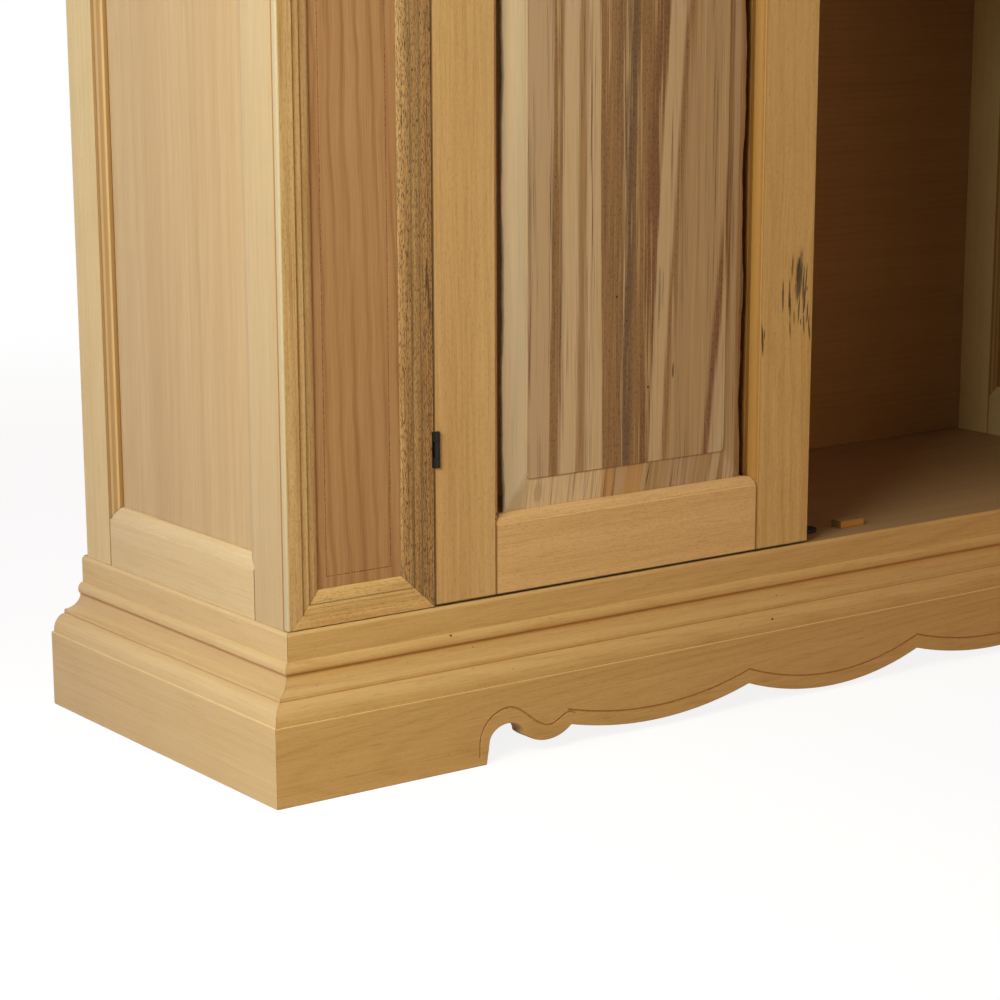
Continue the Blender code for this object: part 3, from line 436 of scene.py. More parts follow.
# On the margins, the bright and dim bands by the hinge stile are painted light and painted shade that even out the
# shading of the sloped margin
MARGIN_STAVES = (
    (320.0, 0.5, "bright"), (333.0, 9.0, "dim"), (354.0, 3.0, "bright"), (449.0, 1.2, "orange"),
    (470.0, 4.0, "tan"), (486.0, 5.0, "orange"), (517.0, 0.4, "grey"), (522.0, 2.0, "streaky"),
    (560.0, 8.0, "tan"), (600.0, 8.0, "streaky"), (632.0, 1.5, "cream"), (643.0, 1.5, "umber"),
)
STAVE_SPAN = 335.0
CORNER_OUT = 750.0

# Lean of the staves, and how their edges stray
STAVE_LEANS = (
    (349.0, 0.027), (430.0, 0.0), (448.0, -0.014), (475.0, 0.0), (520.0, 0.047), (560.0, 0.07),
    (600.0, 0.105), (624.0, 0.105), (632.0, 0.0),
)
LEAN_SPAN = 0.2
STAVE_TOP = 0.5
STAVE_WOBBLE = 5.0 * MM
STAVE_WOBBLE_SCALE = (3.0, 45.0, 45.0)
STAVE_FEATHER = 7.0 * MM
STAVE_FEATHER_SCALE = (7.0, 420.0, 420.0)
STAVE_STRETCH = (1.0, 1.0, 0.08)

# Plain wood left of the field, and the depths of margin and step behind the field's face
PLAIN_END, PLAIN_SOFT, PLAIN_CALM = 349.0, 1.0, 0.75
FIRST_SOFT = 0.5
MARGIN_DEPTHS = (0.4, 1.2)
WALL_DEPTHS = ((0.1, 0.5), (1.7, 1.3))
# Share by which the step's wall is darkened: painted shade
WALL_SHADE = 0.6

# Figure of the staves: weights, the levels where it turns darker and paler, and its colours
STAVE_STREAKS, STAVE_FIBRES = 1.5, 1.2
DARKER_LEVELS, PALER_LEVELS = (0.5, 1.1), (0.5, 0.0)
DARKER_STREAK, PALER_STREAK = (0.19, 0.11, 0.055), (0.56, 0.40, 0.23)
DASHED_LEVELS = (0.30, 0.12)
STAVE_DASHES = 0.57
STAVE_PORE = (0.06, 0.033, 0.018)

# Marks on the panel
DOT = (0.012, 0.008, 0.005)
BLUISH = (0.25, 0.20, 0.145)
KNOT = (0.07, 0.04, 0.02)
SPLIT = (0.06, 0.03, 0.015)
CLOUD = (0.33, 0.20, 0.11)
PANEL_MARKS = (
    (474.5, 469.1, 2.0, 1.8, 0.0, 1.0, DOT), (372.4, 513.3, 2.0, 1.8, 0.0, 1.0, DOT),
    (387.0, 548.4, 11.0, 1.6, 0.03, 0.9, KNOT),
    (470.0, 528.0, 42.0, 2.2, 0.02, 0.7, BLUISH), (480.0, 533.0, 30.0, 1.2, 0.02, 0.6, BLUISH),
    (273.0, 517.2, 17.0, 0.9, 0.1, 0.95, SPLIT),
    (272.0, 366.0, 14.0, 8.0, 0.0, 0.35, CLOUD),
)


def stave_stops(staves_in):
    """Colour stops across the panel, two round each edge."""
    start, _, first = staves_in[0]
    stops = [(0.0, STAVE_TONES[first])]
    for (_, _, before), (edge, soft, tone) in zip(staves_in, staves_in[1:]):
        stops.append(((edge - soft - start) / STAVE_SPAN, STAVE_TONES[before]))
        stops.append(((edge + soft - start) / STAVE_SPAN, STAVE_TONES[tone]))
    return stops


def staves(name, low, mirror):
    """Staves of unlike colour, each with its own lean, and a deeper layer on the margins, with painted light and
    shade there and painted shade on the step's wall.
    """
    shader = new_material(name)
    place = shader.vector("MULTIPLY", log_place(shader, name, "zxy"), STAVE_STRETCH)
    parts = shader.add("ShaderNodeSeparateXYZ", {0: shader.axes("zxy")}).outputs
    across = shader.math("MULTIPLY", parts[1], -1.0 if mirror else 1.0)
    off = shader.math("ADD", across, CORNER_OUT * MM)
    start, second = FIELD_STAVES[0][0], FIELD_STAVES[1][0]
    share = shader.math("DIVIDE", shader.math("SUBTRACT", off, start * MM), STAVE_SPAN * MM)
    leans = [((at - start) / STAVE_SPAN, (0.5 + lean / LEAN_SPAN,) * 3) for at, lean in STAVE_LEANS]
    lean = shader.total(0.0, (shader.ramp(share, leans), LEAN_SPAN))
    drop = shader.math("SUBTRACT", STAVE_TOP, parts[0])
    wobble = shader.total(
        0.0,
        (shader.noise(place, STAVE_WOBBLE_SCALE), STAVE_WOBBLE),
        (shader.noise(place, STAVE_FEATHER_SCALE), STAVE_FEATHER))
    moved = shader.math("ADD", shader.math("MULTIPLY_ADD", lean, drop, off), wobble)
    along = shader.math("DIVIDE", shader.math("SUBTRACT", moved, start * MM), STAVE_SPAN * MM)
    field = shader.ramp(along, stave_stops(FIELD_STAVES))
    margin = shader.ramp(along, stave_stops(MARGIN_STAVES))
    plain = shader.above(off, (PLAIN_END + PLAIN_SOFT) * MM, (PLAIN_END - PLAIN_SOFT) * MM)
    first = shader.above(moved, (second + FIRST_SOFT) * MM, (second - FIRST_SOFT) * MM)
    field = shader.mix(first, field, STAVE_TONES["tan"])
    depths = (MARGIN_DEPTHS, *WALL_DEPTHS)
    deep, *wall = (shader.above(parts[2], low.y + near * MM, low.y + far * MM) for near, far in depths)
    colour = shader.mix(deep, field, margin)
    # Painted shade on the wall of the step round the field
    shaded = shader.math("MULTIPLY", shader.math("MULTIPLY", *wall), WALL_SHADE)
    colour = shader.mix(shaded, colour, STAVE_TONES["umber"])
    fibres = shader.noise(place, FIBRE_SCALE)
    streaks = shader.noise(place, STREAK_SCALE, 3.0, 0.6)
    level = shader.total(0.5, (streaks, STAVE_STREAKS), (fibres, STAVE_FIBRES))
    figured = shader.math("SUBTRACT", 1.0, shader.math("MULTIPLY", plain, PLAIN_CALM))
    for levels, paint in ((DARKER_LEVELS, DARKER_STREAK), (PALER_LEVELS, PALER_STREAK)):
        colour = shader.mix(shader.math("MULTIPLY", shader.above(level, *levels), figured), colour, paint)
    bright = shader.add("ShaderNodeRGBToBW", {0: colour}).outputs[0]
    dark_wood = shader.above(bright, *DASHED_LEVELS)
    dashes = shader.above(shader.noise(place, DASH_SCALE, 1.0), STAVE_DASHES, STAVE_DASHES + DASH_SPAN)
    colour = shader.mix(shader.math("MULTIPLY", dashes, dark_wood), colour, STAVE_PORE)
    ragged = shader.noise(place, MARK_SCALE)
    colour = marks_on(shader, colour, (parts[0], off), ragged, PANEL_MARKS)
    shader.bump(fibres, FIBRE_RELIEF, FIBRE_DEPTH)
    roughness = shader.math("MULTIPLY_ADD", fibres, ROUGH_SPAN, ROUGH_LEAST)
    return shader.finish(colour, roughness)


# Black lacquer and glass: features per metre, colours, relief, roughness and gloss
METAL_GRAIN = (900.0, 900.0, 900.0)
METAL_CLOUD = (60.0, 60.0, 60.0)
METAL_PAINT = ((0.3, (0.006, 0.005, 0.004)), (0.8, (0.013, 0.011, 0.008)))
METAL_RELIEF, METAL_DEPTH = 0.1, 0.05 * MM
METAL_ROUGH, METAL_ROUGH_SPAN, METAL_GLOSS = 0.45, 0.2, 0.2
GLASS_UNEVEN = (7.0, 7.0, 7.0)
GLASS_PAINT = ((0.3, (0.93, 0.97, 0.95)), (0.7, (0.96, 0.985, 0.975)))
GLASS_ROUGH_SPAN, GLASS_GLOSS, GLASS_BEND = 0.02, 0.5, 1.5


def black_metal():
    """Satin black lacquer on steel, a little worn."""
    shader = new_material("black_metal_finish")
    place = shader.axes("xyz")
    grain = shader.noise(place, METAL_GRAIN, 3.0)
    colour = shader.ramp(shader.noise(place, METAL_CLOUD), METAL_PAINT)
    shader.bump(grain, METAL_RELIEF, METAL_DEPTH)
    roughness = shader.math("MULTIPLY_ADD", grain, METAL_ROUGH_SPAN, METAL_ROUGH)
    return shader.finish(colour, roughness, METAL_GLOSS)


def clear_glass():
    """Float glass with a slight green tint and faint unevenness."""
    shader = new_material("clear_glass")
    place = shader.axes("xyz")
    uneven = shader.noise(place, GLASS_UNEVEN, 1.0)
    tint = shader.ramp(uneven, GLASS_PAINT)
    shader.surface.inputs["Transmission Weight"].default_value = 1.0
    shader.surface.inputs["IOR"].default_value = GLASS_BEND
    return shader.finish(tint, shader.math("MULTIPLY", uneven, GLASS_ROUGH_SPAN), GLASS_GLOSS)


# Pieces

def linked(name, data):
    """A new object in the scene."""
    made = bpy.data.objects.new(name, data)
    bpy.context.collection.objects.link(made)
    return made


def rest_turn(body):
    """How a body stands at rest, as a turn from its closed place."""
    joint = JOINTS.get(body)
    if not joint:
        return Matrix.Identity(4)
    pivot = Matrix.Translation(joint["pos_m"])
    turn = Matrix.Rotation(-math.radians(joint["range_deg"][0]), 4, Vector(joint["axis"]))
    return pivot @ turn @ pivot.inverted()


def closed_copy(node):
    """A node's solid as a mesh to work on, with its door closed and flat faces whole."""
    bm = bmesh.new()
    bm.from_mesh(NODES[node].data)
    bm.transform(rest_turn(BODIES[node]).inverted())
    bmesh.ops.remove_doubles(bm, verts=bm.verts, dist=WELD)
    bmesh.ops.dissolve_limit(bm, angle_limit=FLAT_ANGLE, verts=bm.verts, edges=bm.edges)
    return bm


def ease(bm, width, foot=None):
    """Round the sharp arrises, apart from those at the foot of a seated piece."""
    sharp = []
    for edge in bm.edges:
        on_seat = foot is not None and all(vert.co.z < foot + WELD for vert in edge.verts)
        if edge.calc_face_angle(0.0) > SHARP_ANGLE and not on_seat:
            sharp.append(edge)
    bmesh.ops.bevel(
        bm, geom=sharp, offset=width, offset_type="OFFSET", segments=EASE_STEPS, profile=0.5,
        affect="EDGES", clamp_overlap=True, miter_outer="ARC")


def squeeze_sticking(bm, facing):
    """Make a door's moulded stile edges steeper; facing is one on the left door, minus one on the right."""
    low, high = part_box("left_door_panel")
    for turn, edge, kept in ((1, low.x, HINGE_SQUEEZE), (-1, high.x, MEETING_SQUEEZE)):
        flat = edge - turn * (PANEL_SHRINK + STICK_RUN) * MM
        for vert in bm.verts:
            into = turn * (facing * vert.co.x - flat)
            if 0 < into < STICK_RUN * MM + WELD:
                vert.co.x = facing * (flat + turn * into * kept)


def shorten(bm, axis, by):
    """Pull both ends of a piece in along an axis."""
    ends = [vert.co[axis] for vert in bm.verts]
    middle = (min(ends) + max(ends)) / 2
    share = 1.0 - 2 * by / (max(ends) - min(ends))
    for vert in bm.verts:
        vert.co[axis] = middle + (vert.co[axis] - middle) * share


def shade(mesh, angle):
    """Smooth shading, apart from edges sharper than an angle."""
    mesh.shade_smooth()
    mesh.set_sharp_from_angle(angle=angle)


PIECES = []


def add_piece(name, node, bm, material):
    """A mesh that stands for a node, on its body, made with its door closed."""
    mesh = bpy.data.meshes.new(name)
    bm.to_mesh(mesh)
    bm.free()
    shade(mesh, SMOOTH_ANGLE)
    mesh.materials.append(material)
    piece = linked(name, mesh)
    piece.matrix_world = rest_turn(BODIES[node])
    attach(piece, BODIES[node])
    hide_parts(node)
    PIECES.append(piece)
    return piece


def dress(node, material, width, suffix="wood", seated=False, joint=None):
    """A node's own shape with eased arrises and a finish, seated on the piece below if asked."""
    bm = closed_copy(node)
    if suffix == "wood" and "_door_" in node:
        squeeze_sticking(bm, 1 if node.startswith("left") else -1)
    foot = min(vert.co.z for vert in bm.verts) if seated else None
    ease(bm, width, foot)
    if seated:
        for vert in bm.verts:
            if vert.co.z < foot + WELD:
                vert.co.z -= SEAT
    if joint:
        shorten(bm, *joint)
    return add_piece(f"{node}_{suffix}", node, bm, material)


def settle_normals():
    """Let the big flat faces keep their own direction beside soft arrises."""
    for piece in PIECES:
        change = piece.modifiers.new("normals", "WEIGHTED_NORMAL")
        change.weight = NORMAL_WEIGHT
        change.keep_sharp = True
        mesh = final_mesh(piece)
        piece.modifiers.remove(change)
        piece.data = mesh


# Routed lines

def circle_through(first, second, third):
    """Middle and radius of the circle through three points."""
    a, b, c = (Vector(point) for point in (first, second, third))
    twice_area = 2 * (a.x * (b.y - c.y) + b.x * (c.y - a.y) + c.x * (a.y - b.y))
    squares = (a.length_squared, b.length_squared, c.length_squared)
    middle = Vector((
        (squares[0] * (b.y - c.y) + squares[1] * (c.y - a.y) + squares[2] * (a.y - b.y)) / twice_area,
        (squares[0] * (c.x - b.x) + squares[1] * (a.x - c.x) + squares[2] * (b.x - a.x)) / twice_area))
    return middle, (a - middle).length


def hanging_line(middle, radius, start, end):
    """The lower side of a circle between two distances from the pattern's middle."""
    points = []
    for step in range(LINE_STEPS + 1):
        out = start + (end - start) * step / LINE_STEPS
        points.append((out, middle.y - math.sqrt(radius ** 2 - (out - middle.x) ** 2)))
    return points


def eased_line(start, end):
    """A line that leaves one point level and comes level to the other."""
    points = []
    for step in range(LINE_STEPS + 1):
        share = step / LINE_STEPS
        rise = (1 - math.cos(math.pi * share)) / 2
        points.append((start[0] + (end[0] - start[0]) * share, start[1] + (end[1] - start[1]) * rise))
    return points


def notch_line():
    """The line up beside the foot, over the notch, down along the lobe and up to the point."""
    run = FOOT_LINE[0] - NOTCH_LINE_TOP[0]
    rise = NOTCH_LINE_TOP[1] - FOOT_LINE[1]
    points = [(FOOT_LINE[0], FOOT_LINE_LOW)]
    for step in range(LINE_STEPS):
        turn = math.pi / 2 * step / LINE_STEPS
        points.append((NOTCH_LINE_TOP[0] + run * math.cos(turn), FOOT_LINE[1] + rise * math.sin(turn)))
    points += eased_line(NOTCH_LINE_TOP, LOBE_LINE_LOW)[:-1]
    points += eased_line(LOBE_LINE_LOW, POINT_LINE)[:-1]
    return points + eased_line(POINT_LINE, POINT_LINE_END)


def apron_lines():
    """The routed lines, each as distance from the pattern's middle and height."""
    left_cusp = (-CUSP[0], CUSP[1])
    middle, radius = circle_through(left_cusp, CENTRE_LOW, CUSP)
    lines = [hanging_line(middle, radius - LINE_IN, -CUSP[0], CUSP[0])]
    swag, swag_radius = circle_through(CUSP, SWAG_LOW, POINT)
    halves = [
        hanging_line(swag, swag_radius - LINE_IN, CUSP[0], POINT[0] + SWAG_LINE_OVER),
        notch_line()]
    for half in halves:
        lines.append(half)
        lines.append([(-out, high) for out, high in half])
    return lines


def line_cutter(path, closed, radius):
    """A round bar along a path, to cut with."""
    curve = bpy.data.curves.new("line_path", "CURVE")
    curve.dimensions = "3D"
    curve.bevel_depth = radius
    curve.bevel_resolution = 1
    curve.use_fill_caps = True
    spline = curve.splines.new("POLY")
    spline.points.add(len(path) - 1)
    spline.use_cyclic_u = closed
    for point, place in zip(spline.points, path):
        point.co = (*place, 1.0)
    guide = linked("line_path", curve)
    cutter = linked("line_cutter", final_mesh(guide))
    bpy.data.objects.remove(guide)
    return cutter


def final_mesh(piece):
    """A piece's mesh with its modifiers applied."""
    bpy.context.view_layer.update()
    shown = piece.evaluated_get(bpy.context.evaluated_depsgraph_get())
    return bpy.data.meshes.new_from_object(shown)


def cut_line(piece, path, closed, radius):
    """Cut a round-bottomed line into a piece."""
    cutter = line_cutter(path, closed, radius)
    change = piece.modifiers.new("line", "BOOLEAN")
    change.object = cutter
    change.operation = "DIFFERENCE"
    change.solver = "EXACT"
    mesh = final_mesh(piece)
    piece.modifiers.remove(change)
    shade(mesh, CUT_ANGLE)
    piece.data = mesh
    bpy.data.objects.remove(cutter)


def dress_apron():
    """The front plinth board with its routed lines."""
    low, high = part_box("plinth_front")
    middle = (low.x + high.x) / 2 + APRON_MIDDLE * MM
    material = wood(
        "plinth_front_grain", "xzy", APRON, APRON_HEART, marks=ledge_painted_highlight("plinth_front", FRONT_LEDGE),
        incised=low.y, paint=APRON_PAINT)
    piece = dress("plinth_front", material, EASE_BOARD)
    for line in apron_lines():
        path = [(middle + out * MM, low.y, low.z + up * MM) for out, up in line]
        cut_line(piece, path, False, LINE_CUTTER * MM)


def dress_pilaster_panel(side):
    """The pilaster panel with its incised rectangle."""
    node = f"{side}_pilaster_panel"
    low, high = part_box(node)
    material = wood(f"{node}_grain", "zxy", BROWN, incised=low.y, paint=INCISED_PAINT)
    piece = dress(node, material, EASE_FRAME)
    inset = (INCISED_IN + PANEL_TONGUE) * MM
    path = [
        (low.x + inset, low.y, low.z + inset), (high.x - inset, low.y, low.z + inset),
        (high.x - inset, low.y, high.z - inset), (low.x + inset, low.y, high.z - inset)]
    cut_line(piece, path, True, INCISED_CUTTER * MM)


# Door panels

def edge_wave(along, back, phase):
    """How far in the worn edge lies at a height."""
    return back + sum(
        size * math.sin(2 * math.pi * along / length + phase * (index + 1))
        for index, (size, length) in enumerate(EDGE_WAVES))


def panel_ring(low, high, inset, end_inset, depth, round_by, worn):
    """Points round the panel at one depth: up the hinge side, over, down and back."""
    left, right = low.x + inset, high.x - inset
    foot, top = low.z + end_inset, high.z - end_inset
    steps = round((high.z - low.z) / (EDGE_STEP * MM))
    straight = top - foot - 2 * round_by
    corners = ((left, foot, 1, 1), (left, top, 1, -1), (right, top, -1, -1), (right, foot, -1, 1))
    points = []
    for index, (x, z, in_x, in_z) in enumerate(corners):
        middle = Vector((x + in_x * round_by, depth, z + in_z * round_by))
        for step in range(CORNER_STEPS + 1):
            turn = math.pi / 2 * (3 - index - step / CORNER_STEPS)
            points.append(middle + round_by * Vector((math.cos(turn), 0.0, math.sin(turn))))
        if index in WORN_EDGES:
            for step in range(1, steps):
                up = step if in_z > 0 else steps - step
                along = foot + round_by + straight * up / steps
                stray = worn * edge_wave(along / MM, *WORN_EDGES[index]) * MM
                points.append(Vector((x + in_x * stray, depth, along)))
    return points


def dress_door_panel(side):
    """The fielded panel, with a soft step round its field and worn edges along the stiles."""
    low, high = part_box("left_door_panel")
    mirror = side == "right"
    node = f"{side}_door_panel"
    end = (PANEL_TONGUE + END_MARGIN) * MM
    edge = high.y - EDGE_THICK * MM
    sharp = EDGE_ROUND * MM
    rings = [
        panel_ring(low, high, 0.0, 0.0, high.y, sharp, 1.0),
        panel_ring(low, high, 0.0, 0.0, edge + EDGE_ARRIS_DEEP * MM, sharp, 1.0),
        panel_ring(low, high, EDGE_ARRIS_IN * MM, PANEL_TONGUE * MM, edge, sharp, EDGE_ARRIS_WORN)]
    for aside, steps_down, eases_down in STEP_PROFILE:
        further = aside * FIELD_EASE * MM
        depth = low.y + (steps_down * FIELD_STEP + eases_down * FIELD_EASE) * MM
        curve = FIELD_ROUND * MM + max(-further, 0.0)
        rings.append(panel_ring(low, high, SIDE_MARGIN * MM + further, end + further, depth, curve, 0.0))
    bm = bmesh.new()
    loops = [[bm.verts.new(point) for point in ring] for ring in rings]
    bm.faces.new(loops[0])
    bm.faces.new(list(reversed(loops[-1])))
    count = len(loops[0])
    for near, far in zip(loops, loops[1:]):
        for index in range(count):
            after = (index + 1) % count
            bm.faces.new((near[after], near[index], far[index], far[after]))
    if mirror:
        bm.transform(Matrix.Diagonal((-1.0, 1.0, 1.0, 1.0)))
    bmesh.ops.recalc_face_normals(bm, faces=bm.faces)
    add_piece(f"{node}_staves", node, bm, staves(f"{side}_staves", low, mirror))


# Marks: middle along and across the grain, half length, half width, lean, strength and colour

def along_seam(at, width, strength, paint):
    """A straight mark along the grain."""
    return (0.0, at, SEAM_REACH, width, 0.0, strength, paint)


def cross_seam(at, width, strength, paint):
    """A straight mark across the grain."""
    return (at, 0.0, width, SEAM_REACH, 0.0, strength, paint)


# Colours of seams and joints, of painted shade and painted highlights, and of spalt and pin holes
JOINT_PAINT = (0.24, 0.11, 0.03)
# Painted shade under the base moulding's bead, over its ovolo and in its cove
BEAD_SHADE = (0.36, 0.155, 0.035)
# Dark line at the joint of the side's front stile and the pilaster, partly painted shade
CORNER_JOINT_AND_SHADE = (0.38, 0.17, 0.035)
# Painted highlight on the pilaster's rounded outer corner
CORNER_PAINTED_HIGHLIGHT = (0.55, 0.45, 0.28)
# Painted shade in the rear stile's moulded edge, and its darker lines
HOLLOW_PAINTED_SHADE = (0.50, 0.29, 0.10)
HOLLOW_LINE_PAINTED_SHADE = (0.27, 0.125, 0.03)
# Painted highlight on the plinth boards' top arris
LEDGE_PAINTED_HIGHLIGHT = (0.95, 0.70, 0.36)
# Painted shade on the door stop's top and left end
STOP_TOP_PAINTED_SHADE = (0.26, 0.16, 0.085)
STOP_END_PAINTED_SHADE = (0.10, 0.05, 0.02)
# Painted shade in the gaps round the doors, and painted shadow on the stiles' edges beside the panels
GAP_SHADE = (0.10, 0.05, 0.018)
GAP_PAINTED_SHADOW = (0.03, 0.014, 0.004)
# Painted shade on the meeting stile's moulded edge
STICK_SHADE = (0.39, 0.19, 0.042)
# Painted shade in the corners of the pilaster's steps
STEP_PAINTED_SHADE = (0.10, 0.055, 0.02)
SPALT = (0.02, 0.012, 0.006)
PIN_DARK = (0.02, 0.01, 0.005)
PIN_MID = (0.05, 0.025, 0.01)
PIN_FAINT = (0.08, 0.04, 0.015)

# Open joints at the ends of rails: half width in a door and in a side, and strength
JOINT_WIDTH = 3.4
SIDE_JOINT_WIDTH = 1.2
JOINT_STRENGTH = 0.95

# Half width and strength of the other seams, painted shade and painted highlights
CORNER_LINE = (2.6, 0.9)
DOOR_FOOT_SHADE = (1.5, 0.85)
STOP_EDGE = (1.6, 0.85)
STEP_SHADE_WIDTH = 0.6
LEDGE_WIDTH = 2.2
FRONT_LEDGE, SIDE_LEDGE = 0.85, 0.4

# Painted shade on the rear stile's moulded edge: share of its width and strength, then its lines
HOLLOW_SHARE, HOLLOW_STRENGTH = 0.62, 0.7
HOLLOW_LINES = ((0.0, 1.8, 0.9), (5.5, 3.2, 0.55), (13.8, 2.8, 0.75))

# Base moulding, up from the floor: height, half width and strength of its lines of painted shade, then pin holes
MOULDING_PAINTED_SHADE = ((119.5, 9.0, 0.22), (125.6, 2.4, 0.45), (106.4, 0.9, 0.5))
MOULDING_PINS = (
    (238.7, 136.9, 1.6, 1.3, 0.0, 1.0, PIN_DARK), (661.4, 97.9, 1.8, 1.5, 0.0, 1.0, PIN_DARK),
    (690.9, 116.0, 1.0, 0.9, 0.0, 0.8, PIN_MID), (266.0, 120.5, 1.0, 0.8, 0.0, 0.7, PIN_FAINT),
    (296.5, 98.4, 1.0, 0.8, 0.0, 0.7, PIN_FAINT),
)

# Painted shade in the pilaster's steps: distance from the cabinet's corner or the floor, and strength
OUTER_STEP_SHADE = ((71.3, 0.4), (62.2, 0.12))
INNER_STEP_SHADE = ((200.9, 0.8), (210.0, 0.7))
RAIL_STEP_SHADE = ((192.0, 0.7), (182.9, 0.35))

# Marks on the stiles, across from the cabinet's corner
# Painted highlight on the pilaster's rounded outer corner and its side
OUTER_PAINTED_HIGHLIGHT = [along_seam(44.1, 2.8, 0.9, CORNER_PAINTED_HIGHLIGHT)]
# Painted shade in the gap between pilaster and door, and painted shadow on the stile's edge beside the panel
DOOR_GAP_PAINTED_SHADE = [along_seam(225.0, 1.8, 0.85, GAP_SHADE), along_seam(311.2, 5.0, 0.95, GAP_PAINTED_SHADOW)]
MITRE_DOTS = [(257.6, 305.2, 1.7, 1.5, 0.0, 1.0, DOT), (251.9, 303.5, 1.8, 1.5, 0.0, 1.0, DOT)]
# Painted shade on the meeting stile's moulded edge
MEETING_STICK = [along_seam(664.5, 9.0, 0.95, STICK_SHADE)]

# Dark streaks in the stiles: as marks, without their colour
INNER_SPALT = (
    (515.0, 217.0, 26.0, 1.6, 0.03, 0.8), (500.0, 219.5, 22.0, 1.3, -0.03, 0.8),
    (480.0, 221.0, 20.0, 1.2, 0.05, 0.7), (455.0, 214.5, 16.0, 1.0, 0.0, 0.6),
)
MEETING_SPALT = (
    (465.0, 703.0, 14.0, 0.8, -0.03, 0.9), (446.5, 713.5, 18.0, 1.7, -0.03, 0.95),
    (432.0, 720.0, 11.0, 0.9, -0.03, 0.9), (472.0, 728.0, 26.0, 4.5, 0.1, 0.55),
    (464.0, 738.7, 4.0, 0.9, 0.0, 0.9), (427.5, 743.0, 10.0, 0.9, 0.0, 0.9),
    (426.5, 730.2, 5.0, 0.9, 0.0, 0.9), (422.0, 667.8, 30.0, 1.2, 0.0, 0.8),
    (417.0, 676.0, 8.0, 0.8, 0.0, 0.9), (485.0, 725.0, 20.0, 2.4, 0.06, 0.8),
    (470.0, 733.0, 24.0, 1.6, 0.05, 0.85), (478.0, 737.5, 16.0, 1.3, 0.05, 0.8),
    (480.0, 726.0, 36.0, 6.0, 0.08, 0.75), (452.0, 735.0, 26.0, 2.2, 0.06, 0.85),
    (440.0, 727.0, 18.0, 1.6, 0.05, 0.8), (460.0, 712.0, 24.0, 1.3, 0.03, 0.8),
    (436.0, 740.0, 16.0, 1.4, 0.03, 0.85), (490.0, 716.0, 16.0, 2.0, 0.06, 0.7),
    (411.0, 673.2, 21.0, 1.9, -0.06, 0.95), (416.0, 743.5, 15.0, 1.4, -0.1, 0.9),
    (424.0, 735.0, 14.0, 1.3, -0.05, 0.85), (420.0, 714.3, 13.0, 1.2, -0.05, 0.85),
    (455.0, 702.5, 20.0, 1.3, -0.03, 0.9),
)


def painted(marks, paint):
    """Marks with one colour added to each."""
    return [(*mark, paint) for mark in marks]


def corner_marks(side, marks):
    """Marks given across from the cabinet's corner, moved to a side of the world."""
    facing = -1.0 if side == "left" else 1.0
    return [(along, facing * (CORNER_OUT - across), *rest) for along, across, *rest in marks]


def along_front(marks):
    """Marks given along the front from the cabinet's corner, moved to the world."""
    return [(along - CORNER_OUT, across, *rest) for along, across, *rest in marks]


def foot_mark(seam):
    """The shade along a door's foot, as a seam along or across the grain."""
    low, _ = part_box("left_door_hinge_stile")
    return [seam(low.z / MM, *DOOR_FOOT_SHADE, GAP_SHADE)]


def side_rail_seams(node):
    """Dark lines across both ends of a side rail, where it meets the stiles."""
    return [
        cross_seam(end.y / MM, SIDE_JOINT_WIDTH, JOINT_STRENGTH, JOINT_PAINT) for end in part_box(node)]


def door_seams(side):
    """Dark lines where a door's rails meet its stiles."""
    low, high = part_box("left_door_panel")
    back = (PANEL_SHRINK + STICK_RUN) * MM
    facing = 1.0 if side == "left" else -1.0
    return [
        cross_seam(facing * end / MM, JOINT_WIDTH, JOINT_STRENGTH, JOINT_PAINT)
        for end in (low.x - back, high.x + back)]


def moulding_painted_shade():
    """Painted shade: dark lines under the bead and over the ovolo, and the shade of the cove."""
    return [along_seam(*seam, BEAD_SHADE) for seam in MOULDING_PAINTED_SHADE]


def corner_joint_and_shade(side):
    """The dark line along the joint between the side's front stile and the pilaster, partly painted shade."""
    low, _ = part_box(f"{side}_side_front_stile")
    return [along_seam(low.y / MM, *CORNER_LINE, CORNER_JOINT_AND_SHADE)]


def hollow_painted_shade(side):
    """Painted shade on the rear stile's moulded edge: darker than its flat, between two dark lines."""
    low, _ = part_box(f"{side}_side_rear_stile")
    edge = low.y / MM
    broad = along_seam(edge + SIDE_STICK / 2, SIDE_STICK * HOLLOW_SHARE, HOLLOW_STRENGTH, HOLLOW_PAINTED_SHADE)
    lines = [along_seam(edge + back, width, strength, HOLLOW_LINE_PAINTED_SHADE) for back, width, strength in HOLLOW_LINES]
    return [broad] + lines


def stop_painted_shade():
    """Painted shade on the stop's top, dark like the floor, and on its shaded left end."""
    low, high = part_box("door_stop")
    return [along_seam(high.z / MM, *STOP_EDGE, STOP_TOP_PAINTED_SHADE), cross_seam(low.x / MM, *STOP_EDGE, STOP_END_PAINTED_SHADE)]


def ledge_painted_highlight(node, strength):
    """A painted highlight along the arris of a plinth board's top."""
    _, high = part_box(node)
    return [along_seam(high.z / MM, LEDGE_WIDTH, strength, LEDGE_PAINTED_HIGHLIGHT)]


def step_painted_shade(seams):
    """Painted shade: dark lines in the corners of a pilaster's steps."""
    return [along_seam(at, STEP_SHADE_WIDTH, strength, STEP_PAINTED_SHADE) for at, strength in seams]


# Dressing

def dress_wood(node, order, look, width, heart=HEART, marks=(), seated=False, joint=0.0):
    """A board with its own wood, its joint gap at both ends of the grain."""
    grain = wood(f"{node}_grain", order, look, heart, marks)
    ends = ("xyz".index(order[0]), joint) if joint else None
    return dress(node, grain, width, seated=seated, joint=ends)


